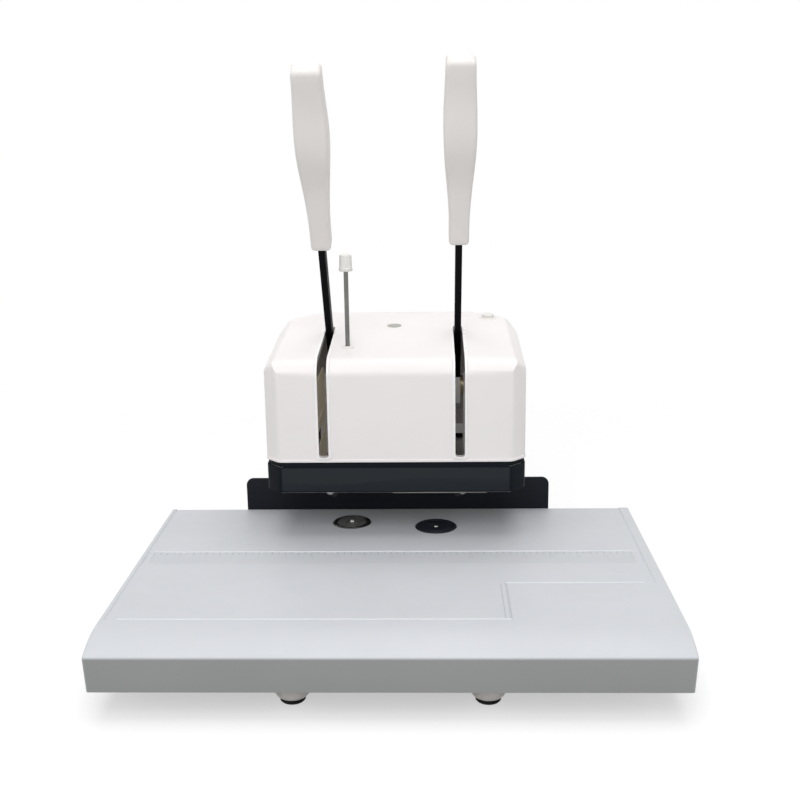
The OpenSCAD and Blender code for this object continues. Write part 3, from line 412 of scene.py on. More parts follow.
    def turn_and_place(self, turn: Sequence[float], place: Sequence[float]) -> "Workpiece":
        """Turn the piece about the origin, move it, and keep both in its mesh."""
        self.hold()
        self.piece.rotation_euler = [math.radians(angle) for angle in turn]
        self.piece.location = metres(place)
        bpy.ops.object.transform_apply(location=True, rotation=True, scale=True)
        return self

    def twin(self, name: str, offset: Sequence[float] = (0, 0, 0)) -> "Workpiece":
        """Copy the piece under a new name and with a mesh of its own, moved by an offset."""
        self.hold()
        bpy.ops.object.duplicate(linked=False)
        bpy.context.object.location = metres(offset)
        return Workpiece(name)

    def smooth(self, angle: float = 35.0) -> "Workpiece":
        """Shade smooth, with edges sharper than an angle kept."""
        self.hold()
        bpy.ops.object.shade_smooth_by_angle(angle=math.radians(angle))
        return self

    def seat(self, finish: "Finish", slot: str, *nodes: str, body: str = "frame") -> None:
        """Dress the finished piece and seat it on its body.

        Args:
            finish: Finish of the piece.
            slot: Material slot of the record; not used.
            nodes: Frame nodes that it stands for.
            body: Body that it rides on.
        """
        self.clear_bench()
        self.piece.data.materials.clear()
        self.piece.data.materials.append(PAINT.get(finish))
        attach(self.piece, body)
        if nodes:
            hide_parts(*nodes)
        LOG.info("%s: %d faces on %s", self.piece.name, len(self.piece.data.polygons), body)

    def seat_at(self, places: Sequence[Ring], finish: "Finish", slot: str, *nodes: str) -> None:
        """Seat the piece, whose name ends in 1, and a copy at each further place.

        Args:
            places: Sideways place and depth of the piece and of each copy.
            finish: Finish of the pieces.
            slot: Material slot of the record.
            nodes: Frame nodes that they stand for.
        """
        stem = self.piece.name[:-1]
        start_x, start_y = places[0]
        for index, (x, y) in enumerate(places[1:], 2):
            self.twin(f"{stem}{index}", (x - start_x, y - start_y, 0)).seat(finish, slot, *nodes)
        self.seat(finish, slot, *nodes)


# Finishes


Colour = tuple[float, float, float]


class Wiring:
    """Adds nodes to a node tree and links them."""

    def __init__(self, tree: bpy.types.NodeTree) -> None:
        """Take the tree."""
        self.nodes = tree.nodes
        self.links = tree.links

    def feed(self, node: bpy.types.Node, socket: str | int, value: object) -> None:
        """Link a node's input to another socket, or set it to a value."""
        if isinstance(value, Socket):
            self.links.new(value, node.inputs[socket])
        else:
            node.inputs[socket].default_value = value

    def add(self, kind: str, inputs: dict[str | int, object], **settings: object) -> bpy.types.Node:
        """Add a node.

        Args:
            kind: Blender's name of the node, without its prefix.
            inputs: Value or source of its inputs, by name or number.
            settings: Its settings.

        Returns:
            The node.
        """
        node = self.nodes.new(f"ShaderNode{kind}")
        for setting, value in settings.items():
            setattr(node, setting, value)
        for socket, value in inputs.items():
            self.feed(node, socket, value)
        return node

    def largest(self, first: Socket, *others: Socket) -> Socket:
        """The largest of some values."""
        for other in others:
            first = self.add("Math", {0: first, 1: other}, operation="MAXIMUM").outputs[0]
        return first


class NodeBoard(Wiring):
    """Lays out the nodes of one material on Object coordinates."""

    RAMP_MIDDLE = 0.5
    # Where most of a noise's values lie
    NOISE_LOW = 0.3
    NOISE_HIGH = 0.7
    # Patches of wear: their size and detail, and what they take from or add to the roughness
    WEAR_SIZE = 9.0
    WEAR_DETAIL = 4.0
    WEAR_LESS = 0.05
    WEAR_MORE = 0.06

    def __init__(self, name: str) -> None:
        """Start a material of a name with a Principled shader."""
        self.material = bpy.data.materials.new(name)
        self.material.use_nodes = True
        super().__init__(self.material.node_tree)
        self.shader = self.nodes["Principled BSDF"]
        self.place = self.add("TexCoord", {}).outputs["Object"]

    def set(self, socket: str, value: object) -> None:
        """Set an input of the shader, or link it."""
        self.feed(self.shader, socket, value)

    def noise(self, size: float, detail: float = 3.0, stretch: Triple = (1.0, 1.0, 1.0)) -> Socket:
        """Noise of a given feature size.

        Args:
            size: Size of a feature.
            detail: Octaves of finer detail.
            stretch: Scale along X, Y and Z; less than 1 draws the noise out.

        Returns:
            The noise's value.
        """
        mapping = self.add("Mapping", {"Vector": self.place, "Scale": stretch})
        noise = self.add("TexNoise", {
            "Vector": mapping.outputs["Vector"], "Scale": 1 / (size * MM), "Detail": detail})
        return noise.outputs["Fac"]

    def tones(self, driver: Socket, colour: Colour, stops: Rings) -> Socket:
        """Darker and lighter tones of a colour along a value.

        Args:
            driver: The value.
            colour: The colour.
            stops: Place of each tone, and the factor that makes it from the colour.

        Returns:
            The tone.
        """
        ramp = self.add("ValToRGB", {"Fac": driver})
        elements = ramp.color_ramp.elements
        while len(elements) < len(stops):
            elements.new(self.RAMP_MIDDLE)
        for element, (place, factor) in zip(elements, stops):
            element.position = place
            element.color = (*(min(1.0, part * factor) for part in colour), 1.0)
        return ramp.outputs["Color"]

    def blend(self, share: Socket, first: Socket, second: Socket) -> Socket:
        """Blend two colours by a share."""
        node = self.add("Mix", {"Factor": share}, data_type="RGBA")
        colours = [socket for socket in node.inputs if socket.type == "RGBA"]
        self.links.new(first, colours[0])
        self.links.new(second, colours[1])
        return next(socket for socket in node.outputs if socket.type == "RGBA")

    def along(self, axis: str, start: float, end: float) -> Socket:
        """How far a point lies along an axis between two places, from 0 to 1."""
        split = self.add("SeparateXYZ", {"Vector": self.place})
        span = {"Value": split.outputs[axis], "From Min": start * MM, "From Max": end * MM}
        return self.add("MapRange", span).outputs["Result"]

    def roughness(self, driver: Socket, low: float, high: float) -> None:
        """Vary the roughness between two limits."""
        span = {"From Min": self.NOISE_LOW, "From Max": self.NOISE_HIGH, "To Min": low, "To Max": high}
        self.set("Roughness", self.add("MapRange", {"Value": driver, **span}).outputs["Result"])

    def wear(self, roughness: float) -> None:
        """Vary the roughness in patches about a value."""
        patches = self.noise(self.WEAR_SIZE, self.WEAR_DETAIL)
        self.roughness(patches, roughness - self.WEAR_LESS, roughness + self.WEAR_MORE)

    def bump(self, driver: Socket, depth: float) -> None:
        """Give the surface a relief of a depth."""
        relief = self.add("Bump", {"Height": driver, "Distance": depth * MM})
        self.set("Normal", relief.outputs["Normal"])


@dataclass(frozen=True)
class Finish:
    """Common facts of a finish. What isn't a size or a depth is a share or in Blender's own unit."""

    name: str
    colour: Colour

    def make(self) -> bpy.types.Material:
        """Build the material."""
        board = NodeBoard(self.name)
        self.lay_out(board)
        return board.material

    def lay_out(self, board: NodeBoard) -> None:
        """Lay out the material's nodes."""
        raise NotImplementedError


@dataclass(frozen=True)
class Moulded(Finish):
    """Plastic, paint or rubber: fine grain, faint clouds of tone and a soft sheen."""

    roughness: float = 0.45
    grain: float = 0.7
    depth: float = 0.02
    clouds: float = 0.02
    specular: float = 0.5
    # Stands in for the light that a pale hood lets through to what is inside it
    glow: float = 0.0
    cloud_size: float = 45.0
    cloud_detail: float = 5.0
    cloud_places: Ring = (0.32, 0.68)
    grain_detail: float = 2.0

    def lay_out(self, board: NodeBoard) -> None:
        """Lay out the material's nodes."""
        dark, light = self.cloud_places
        board.set("Base Color", board.tones(
            board.noise(self.cloud_size, self.cloud_detail), self.colour,
            ((dark, 1 - self.clouds), (light, 1 + self.clouds)),
        ))
        board.wear(self.roughness)
        board.bump(board.noise(self.grain, self.grain_detail), self.depth)
        board.set("Specular IOR Level", self.specular)
        board.set("Emission Color", (*self.colour, 1))
        board.set("Emission Strength", self.glow)


@dataclass(frozen=True)
class Metal(Finish):
    """Bare metal with the marks of its making and a breath of tarnish."""

    roughness: float = 0.3
    lay: Grain = Grain.CAST
    marks: float = 0.25
    depth: float = 0.006
    mark_detail: float = 4.0
    tarnish_size: float = 14.0
    tarnish_detail: float = 5.0
    tarnish: Rings = ((0.3, 0.86), (0.55, 1.0), (0.75, 1.06))
    sheen: Ring = (0.75, 1.3)

    def lay_out(self, board: NodeBoard) -> None:
        """Lay out the material's nodes."""
        marks = board.noise(self.marks, self.mark_detail, self.lay.value)
        tarnish = board.noise(self.tarnish_size, self.tarnish_detail)
        board.set("Base Color", board.tones(tarnish, self.colour, self.tarnish))
        board.roughness(marks, *(self.roughness * factor for factor in self.sheen))
        board.bump(marks, self.depth)
        board.set("Metallic", 1.0)


@dataclass(frozen=True)
class Patterned(Finish):
    """Pressed board in fine layers, or a circuit board with tracks and pads."""

    size: float = 0.4
    detail: float = 3.0
    stretch: Triple = (0.05, 0.05, 1.0)
    pattern: Rings = ((0.3, 0.6), (0.5, 1.0), (0.7, 1.35))
    patch: float = 3.0
    sheen: Ring = (0.5, 0.75)
    depth: float = 0.03

    def lay_out(self, board: NodeBoard) -> None:
        """Lay out the material's nodes."""
        lines = board.noise(self.size, self.detail, self.stretch)
        board.set("Base Color", board.tones(lines, self.colour, self.pattern))
        board.roughness(board.noise(self.patch), *self.sheen)
        board.bump(lines, self.depth)


@dataclass(frozen=True)
class Tray(Finish):
    """Fine-grained grey of the bed, with a darker grey on the upright front lip that is painted shade."""

    # Colour of the upright front lip, darker than the top: painted shade.
    lip: Colour
    shaded_lip_front: float = -166.0
    shaded_lip_fade: float = 0.7
    roughness: float = 0.5
    cloud_size: float = 60.0
    cloud_detail: float = 5.0
    clouds: Rings = ((0.32, 0.98), (0.68, 1.02))
    grain: float = 0.7
    grain_detail: float = 2.0
    depth: float = 0.03

    def lay_out(self, board: NodeBoard) -> None:
        """Lay out the material's nodes."""
        cloud = board.noise(self.cloud_size, self.cloud_detail)
        # In front of the lip's start the darker lip colour takes over: painted shade.
        share = board.along("Y", self.shaded_lip_front, self.shaded_lip_front + self.shaded_lip_fade)
        shaded_lip_and_top = [board.tones(cloud, colour, self.clouds) for colour in (self.lip, self.colour)]
        board.set("Base Color", board.blend(share, *shaded_lip_and_top))
        board.wear(self.roughness)
        board.bump(board.noise(self.grain, self.grain_detail), self.depth)


class PaintShop:
    """Makes each finish once."""

    def __init__(self) -> None:
        """Start with an empty shelf."""
        self.shelf: dict[str, bpy.types.Material] = {}

    def get(self, finish: Finish) -> bpy.types.Material:
        """The material of a finish, made at first use."""
        if finish.name not in self.shelf:
            self.shelf[finish.name] = finish.make()
        return self.shelf[finish.name]


PAINT = PaintShop()

# Its second colour is painted shade on the front lip.
BED_GREY = Tray("bed_grey", (0.515, 0.53, 0.556), (0.285, 0.293, 0.289))
RULER_INK = Moulded("ruler_ink", (0.33, 0.345, 0.37), 0.6, depth=0.005)
NUMBER_INK = Moulded("number_ink", (0.42, 0.435, 0.46), 0.6, depth=0.005)
STRIP_GREY = Moulded("strip_grey", (0.493, 0.508, 0.532), 0.5, depth=0.03)
# Lighter than the bed: painted highlight along the raised ruler line and panel ribs.
RIB_HIGHLIGHT_GREY = Moulded("ruler_rib", (0.66, 0.675, 0.70), 0.5, depth=0.01)
# Darker than the bed: painted shade of the grooves along the panel's step.
GROOVE_SHADE_GREY = Moulded("groove_grey", (0.40, 0.415, 0.44), 0.6, depth=0.005)
FOOT_CREAM = Moulded("foot_cream", (0.84, 0.80, 0.76), 0.3, depth=0.01)
FOOT_RUBBER = Moulded("foot_rubber", (0.008, 0.007, 0.007), 0.6, depth=0.03, specular=0.2)
HOOD_WHITE = Moulded("hood_white", (0.82, 0.785, 0.78), 0.38, depth=0.02, clouds=0.012)
# Whiter than the hood: painted highlight on the raised slot rims.
RIM_HIGHLIGHT_WHITE = Moulded("rim_white", (0.865, 0.85, 0.84), 0.3, depth=0.01, clouds=0.01)
TRIM_WHITE = Moulded("trim_white", (0.76, 0.745, 0.715), 0.32, depth=0.01, clouds=0.02)
GRIP_WHITE = Moulded("grip_white", (0.86, 0.825, 0.80), 0.45, depth=0.02, clouds=0.015, specular=0.3)
FENCE_BLACK = Moulded("fence_black", (0.006, 0.008, 0.012), 0.5, 0.5, 0.03, specular=0.16)
COAT_BLACK = Moulded("coat_black", (0.021, 0.021, 0.022), 0.5, 0.45, 0.05, specular=0.35)
SKIRT_BLACK = Moulded("skirt_black", (0.007, 0.009, 0.012), 0.55, depth=0.004, specular=0.06)
SMOKE_PANE = Moulded("smoke_pane", (0.010, 0.014, 0.018), 0.16, depth=0.001, specular=0.2)
LEVER_BLACK = Moulded("lever_black", (0.004, 0.004, 0.005), 0.5, 0.5, 0.02, specular=0.05)
FITTING_BLACK = Moulded("fitting_black", (0.018, 0.018, 0.018), 0.4, depth=0.02)
ROCKER_BLACK = Moulded("rocker_black", (0.012, 0.012, 0.012), 0.28, depth=0.01)
MARK_WHITE = Moulded("mark_white", (0.75, 0.75, 0.74), 0.5, depth=0.01)
# Both zinc finishes glow: painted light that stands in for the light the hood lets through.
ZINC_KHAKI = Moulded("zinc_khaki", (0.46, 0.41, 0.30), 0.42, depth=0.01, clouds=0.12, glow=0.2)
ZINC_GREY = Moulded("zinc_grey", (0.46, 0.45, 0.435), 0.4, depth=0.01, clouds=0.1, glow=0.2)
PAD_BROWN = Patterned("pad_brown", (0.090, 0.090, 0.086), 0.5)
ANVIL_BLACK = Moulded("anvil_black", (0.014, 0.016, 0.022), 0.45, 0.4, 0.02, specular=0.25)
BRIGHT_STEEL = Metal("bright_steel", (0.62, 0.62, 0.60), 0.2, Grain.TURNED)
DULL_STEEL = Metal("dull_steel", (0.18, 0.176, 0.168), 0.3, Grain.ALONG_Z)
STOP_CHROME = Metal("stop_chrome", (0.55, 0.56, 0.58), 0.12, Grain.TURNED, depth=0.002)
SCREW_STEEL = Metal("screw_steel", (0.45, 0.45, 0.44), 0.32, Grain.CAST, 0.4)
MACHINED_STEEL = Metal("machined_steel", (0.5, 0.5, 0.49), 0.34, Grain.ALONG_X)
DARK_STEEL = Metal("dark_steel", (0.16, 0.155, 0.15), 0.35, Grain.TURNED)
GEAR_BRASS = Metal("gear_brass", (0.42, 0.34, 0.2), 0.36, Grain.CAST, 0.5)
CARRIAGE_ALLOY = Metal("carriage_alloy", (0.4, 0.4, 0.4), 0.45, Grain.CAST, 0.6, 0.02)
INSULATOR_BROWN = Patterned("insulator_brown", (0.2, 0.1, 0.04))
LENS_GREY = Moulded("lens_grey", (0.345, 0.34, 0.31), 0.3, depth=0.003, specular=0.3)
BOARD_GREEN = Patterned(
    "board_green", (0.015, 0.12, 0.05), 2.2, 0.0, (1.0, 1.0, 0.12),
    ((0.42, 0.55), (0.5, 1.0), (0.66, 1.5)), 5.0, (0.3, 0.45),
)

# Frame nodes that show as they are, by their finish
CARRIED: dict[Finish, tuple[str, ...]] = {
    COAT_BLACK: ("base_plate", "column_sides", "column_front", "fence_screws"),
    SCREW_STEEL: (
        "bed_screws", "head_screws", "return_spring_left", "return_spring_right",
        "grip_screws_left", "grip_screws_right",
    ),
    MACHINED_STEEL: (
        "anvil_posts", "head_plate", "tie_plate", "rack_left", "rack_right", "motor_body"),
    BRIGHT_STEEL: (
        "guide_rods", "lever_shaft", "spindle_bearings", "drill_spindle", "drill_bit", "anvil_pin"),
    DULL_STEEL: ("ejector_rod",),
    DARK_STEEL: ("collet_nut", "heater_barrel"),
    ZINC_GREY: ("shaft_brackets",),
    GEAR_BRASS: (
        "sector_gear_left", "sector_gear_right", "spindle_gear", "motor_pinion", "rivet_die"),
    CARRIAGE_ALLOY: ("carriage_left", "carriage_right"),
    INSULATOR_BROWN: ("heat_insulator",),
    BOARD_GREEN: ("control_board",),
}


# Sub-assemblies


@dataclass
class Bed:
    """Grey tray that the paper lies on, with its sunk panel."""

    roll_depth: float = 32.0
    roll_drop: float = 7.5
    roll_steps: int = 10
    side_draft: float = 1.25
    wall: float = 3.0
    rim_round: float = 1.6
    rim_steps: int = 4
    rim_reach: float = 2.0
    shading: float = 14.0
    panel_left: float = -188.8
    panel_front: float = -126.0
    panel_step_x: float = 79.5
    panel_step_y: float = -67.5
    panel_right: float = 184.5
    panel_back: float = 84.0
    panel_slope: float = 0.8
    panel_depth: float = 0.6
    strip_front: float = -31.0
    strip_back: float = -7.0
    strip_depth: float = 0.3
    rib_left: float = -179.5
    rib_right: float = 176.5
    rib_width: float = 1.5
    rib_height: float = 0.3
    rib_edge: float = 0.2
    groove_width: float = 0.7
    groove_edge: float = 0.175
    groove_height: float = 0.05
    groove_step: float = 4.0
    groove_count: int = 2
    seat_gap: float = 0.4
    seat_sides: int = 96
    notch_depth: float = 30.0
    skin: float = 0.01
    boss_radius: float = 5.0
    boss_bore: float = 1.6
    boss_depth: float = 12.0
    boss_edge: float = 0.6
    screw_head: float = 3.0

    def roll(self, tray: Workpiece, front: float, top: float) -> None:
        """Roll off the front edge: cross cuts, each lowered onto the arc.

        Args:
            tray: The tray.
            front: Depth of its front edge.
            top: Height of its surface.
        """
        start = front + self.roll_depth
        radius = (self.roll_depth**2 + self.roll_drop**2) / (2 * self.roll_drop)
        lines = [start - self.roll_depth * step / self.roll_steps for step in range(self.roll_steps)]
        for line in lines:
            tray.slice((0, line, 0), BACK)
        for line in [*lines[1:], front]:
            drop = radius - math.sqrt(radius**2 - (start - line) ** 2)
            tray.pick(Pick.POINT, lambda at, _: abs(at.y - line) < NEAR and at.z > top - NEAR)
            tray.move((0, 0, -drop))

    def sink_panel(self, tray: Workpiece, top: float) -> None:
        """Sink the stepped panel and the ruler strip into the surface.

        Args:
            tray: The tray.
            top: Height of its surface.
        """
        for line in (self.panel_left, self.panel_step_x, self.panel_right):
            tray.slice((line, 0, 0), RIGHT)
        lines = (self.panel_front, self.panel_step_y, self.strip_front, self.strip_back, self.panel_back)
        for line in lines:
            tray.slice((0, line, 0), BACK)

        def in_panel(at: Vector, normal: Vector) -> bool:
            """Whether a face lies on the panel."""
            if normal.z < ALIGNED or at.z < top - NEAR:
                return False
            front = self.panel_front if at.x < self.panel_step_x else self.panel_step_y
            return self.panel_left < at.x < self.panel_right and front < at.y < self.panel_back

        def in_strip(at: Vector, normal: Vector) -> bool:
            """Whether a face lies on the ruler strip."""
            level = normal.z > ALIGNED and at.z > top - CLEAR
            inside = self.panel_left + self.panel_slope < at.x < self.panel_right - self.panel_slope
            return level and inside and self.strip_front < at.y < self.strip_back

        tray.pick(Pick.FACE, in_panel).inset(self.panel_slope, -self.panel_depth)
        tray.pick(Pick.FACE, in_strip).inset(self.panel_slope / 2, -self.strip_depth)

    def cutters(self, low: Vector, high: Vector, plate_top: float) -> Iterator[Workpiece]:
        """Cutters of the two round seats, of the notch for the base plate and of the panel's rear end.

        Args:
            low: Lowest corner of the tray.
            high: Highest corner of the tray.
            plate_top: Height of the base plate's top.

        Returns:
            The cutters.
        """
        for node in ("drill_seat", "rivet_anvil"):
            foot, radius, height = round_node(node)
            middle = foot + height / 2 * UP
            yield Workpiece.bar("seat_cut", middle, radius + self.seat_gap, THROUGH, sides=self.seat_sides)
        plate_low, plate_high = node_box("base_plate")
        yield Workpiece.block(
            "notch_cut", (plate_low.x - self.seat_gap, high.y - self.notch_depth, low.z - CLEAR),
            (plate_high.x + self.seat_gap, high.y + CLEAR, plate_top + self.seat_gap),
        )
        panel_floor = high.z - self.panel_depth + self.skin
        yield Workpiece.block(
            "rear_cut", (self.panel_left + self.panel_slope, self.panel_back - CLEAR, panel_floor),
            (self.panel_right - self.panel_slope, high.y + CLEAR, high.z + CLEAR),
        )

    def build(self) -> None:
        """Build the tray, the bosses under it and the lines on it."""
        low, high = node_box("bed_tray")
        plate_top = node_box("base_plate")[1].z
        tray = Workpiece.block("bed_shell", low, high)
        tray.pick(Pick.FACE, facing(-UP)).drop_faces()
        self.roll(tray, low.y, high.z)
        tray.pick(Pick.POINT, lambda at, _: at.z < low.z + NEAR)
        tray.resize((1 - self.side_draft / high.x, 1, 1), (0, 0, low.z))
        tray.pick(Pick.EDGE, lambda at, lean: at.z > low.z + NEAR and (
            at.y < low.y + NEAR or abs(lean.y) > LEANING and abs(at.x) > high.x - self.rim_reach))
        tray.bevel(self.rim_round, self.rim_steps)
        self.sink_panel(tray, high.z)
        tray.close().wall(self.wall)
        tray.cut(*self.cutters(low, high, plate_top))
        tray.smooth(self.shading).seat(BED_GREY, "bed_grey", "bed_tray")
        self.bosses(plate_top, high.z - self.wall)
        self.panel_lines(high.z)

    def panel_lines(self, top: float) -> None:
        """Build the ribs along the panel's stepped front, lighter than the bed as painted highlight, and
        dark strips that are painted shade of grooves, on the tray's top.
        """
        half = self.rib_width / 2
        for name, left, right, line in (
            ("panel_rib_left", self.rib_left, self.panel_step_x, self.panel_front),
            ("panel_rib_right", self.panel_step_x, self.rib_right, self.panel_step_y),
        ):
            rib = Workpiece.block(
                name, (left, line - half, top - SUNK), (right, line + half, top + self.rib_height))
            rib.soften(self.rib_edge).smooth().seat(RIB_HIGHLIGHT_GREY, "bed_grey")
        # Dark strips a hair over the surface: painted shade of grooves.
        groove = Workpiece.block(
            "panel_grooves", (self.panel_step_x, self.panel_front + half, top - SUNK),
            (self.panel_step_x + self.groove_width, self.panel_step_y - half, top + self.groove_height),
        )
        groove.pick(Pick.FACE, facing(UP)).inset(self.groove_edge)
        groove.close().repeat(self.groove_count, (-self.groove_step, 0, -self.panel_depth))
        groove.seat(GROOVE_SHADE_GREY, "bed_grey")

    def bosses(self, low: float, high: float) -> None:
        """Build the four screw bosses between the base plate and the tray's underside."""
        screw_low, screw_high = node_box("bed_screws")
        places = [
            (x, y) for x in (screw_low.x + self.screw_head, screw_high.x - self.screw_head)
            for y in (screw_low.y + self.screw_head, screw_high.y - self.screw_head)
        ]
        boss = Workpiece.turned("bed_boss_1", (*places[0], low), [
            (self.boss_bore, self.boss_depth), (self.boss_bore, 0.0),
            (self.boss_radius - self.boss_edge, 0.0), (self.boss_radius, self.boss_edge),
            (self.boss_radius + self.boss_edge, high - low),
        ])
        boss.smooth().seat_at(places, BED_GREY, "bed_grey")


@dataclass
class Ruler:
    """Ruler on the bed: a strip, a raised line that is lighter than the bed as painted highlight, ticks
    and plain numbers.
    """

    left: float = -183.5
    right: float = 178.0
    line: float = -6.4
    floor: float = 51.1
    rib_width: float = 0.9
    rib_height: float = 0.55
    rib_edge: float = 0.25
    strip_depth: float = 23.6
    strip_height: float = 0.03
    strip_corner: float = 1.0
    step: float = 5.0
    tick_gap: float = 0.6
    tick_width: float = 0.5
    tick_edge: float = 0.1
    tick_long: float = 5.2
    tick_short: float = 3.4
    ink_height: float = 0.06
    ink_sunk: float = 0.02
    number_size: float = 4.4
    number_drop: float = 12.4
    number_step: int = 20
    number_unit: int = 10

    def ticks(self, name: str, start: float, length: float, count: int) -> None:
        """Build a row of ticks, two steps apart.

        Args:
            name: Name of the row.
            start: Place of the first tick.
            length: Length of a tick.
            count: Number of ticks.
        """
        back = self.line - self.rib_width / 2 - self.tick_gap
        tick = Workpiece.block(
            name, (start, back - length, self.floor - self.ink_sunk),
            (start + self.tick_width, back, self.floor + self.ink_height),
        )
        tick.pick(Pick.FACE, facing(UP)).inset(self.tick_edge)
        tick.close().repeat(count, (2 * self.step, 0, 0)).seat(RULER_INK, "bed_grey")

    def number(self, value: int) -> bpy.types.Object:
        """The number at a distance from the ruler's left end, as a mesh."""
        Workpiece.clear_bench()
        bpy.ops.object.text_add(location=metres((
            self.left + value + self.tick_width, self.line - self.number_drop,
            self.floor - self.ink_sunk,
        )))
        text = bpy.context.object
        text.data.body = str(value // self.number_unit)
        text.data.align_x = "CENTER"
        text.data.size = self.number_size * MM
        text.data.extrude = self.ink_height * MM
        bpy.ops.object.convert(target="MESH")
        return bpy.context.object

    def numbers(self) -> None:
        """Build the numbers under the ticks as one piece."""
        values = range(0, int(self.right - self.left), self.number_step)
        pieces = [self.number(value) for value in values]
        Workpiece.clear_bench()
        for piece in pieces:
            piece.select_set(True)
        bpy.context.view_layer.objects.active = pieces[0]
        bpy.ops.object.join()
        Workpiece("ruler_numbers").close().seat(NUMBER_INK, "bed_grey")

    def build(self) -> None:
        """Build the line, the strip, the ticks and the numbers."""
        root = self.floor - SUNK
        rib = Workpiece.block(
            "ruler_line", (self.left, self.line - self.rib_width / 2, root),
            (self.right, self.line + self.rib_width / 2, self.floor + self.rib_height),
        )
        # The raised line is lighter than the bed: painted highlight.
        rib.soften(self.rib_edge).smooth().seat(RIB_HIGHLIGHT_GREY, "bed_grey")
        strip = Workpiece.slab(
            "ruler_strip", (self.left, self.line - self.strip_depth, root),
            (self.right, self.line - self.rib_width, self.floor + self.strip_height),
            UP, self.strip_corner,
        )
        strip.seat(STRIP_GREY, "bed_grey")
        count = int((self.right - self.left) / (2 * self.step)) + 1
        self.ticks("ruler_ticks_long", self.left, self.tick_long, count)
        self.ticks("ruler_ticks_short", self.left + self.step, self.tick_short, count - 1)
        self.numbers()


@dataclass
class Feet:
    """Four tapered cups with rubber pads. Stretches of a profile count from a radius and a height."""

    reach: float = 64.0
    top_radius: float = 12.5
    low_radius: float = 9.3
    pad_radius: float = 8.4
    pad_height: float = 7.0
    play: float = 0.1
    socket: float = 2.6
    bolt: float = 2.0
    bowl: Rings = ((-0.1, 0.0), (0.5, 0.4), (1.6, 1.7), (2.5, 3.2))
    shoulder: Rings = ((-0.4, 5.2), (-0.1, 8.0))
    head: Rings = ((0.0, -3.0), (0.0, -0.4), (-0.4, 0.0))
    sole: Rings = ((-2.4, 0.5), (-1.8, 0.0), (-0.7, 0.0), (0.0, 0.8), (0.0, 1.9), (-0.5, 2.2), (0.0, 2.6))
    pad_crown: Rings = ((0.0, -0.5), (-1.0, -0.1))

    def build(self) -> None:
        """Turn one cup and one pad, and copy them to the four corners."""
        low, high = node_box("foot_cups")
        plate_z = node_box("base_plate")[0].z
        depths = (low.y + self.top_radius, high.y - self.top_radius)
        places = [(x, y) for x in (-self.reach, self.reach) for y in depths]
        foot = (*places[0], 0)
        rim = self.pad_height / 2
        bore = self.pad_radius + self.play
        cup = Workpiece.turned("foot_cup_1", foot, [
            (bore, rim + self.socket), (bore, rim), *shifted(self.bowl, self.low_radius, rim),
            *shifted(self.shoulder, self.top_radius, rim),
            *shifted(self.head, self.top_radius, plate_z), (self.bolt, plate_z),
        ])
        pad = Workpiece.turned("foot_pad_1", foot, [
            *shifted(self.sole, self.pad_radius, 0.0),
            *shifted(self.pad_crown, self.pad_radius, self.pad_height),
        ])
        cup.smooth().seat_at(places, FOOT_CREAM, "foot_cream", "foot_cups")
        pad.smooth().seat_at(places, FOOT_RUBBER, "foot_rubber", "foot_pads")


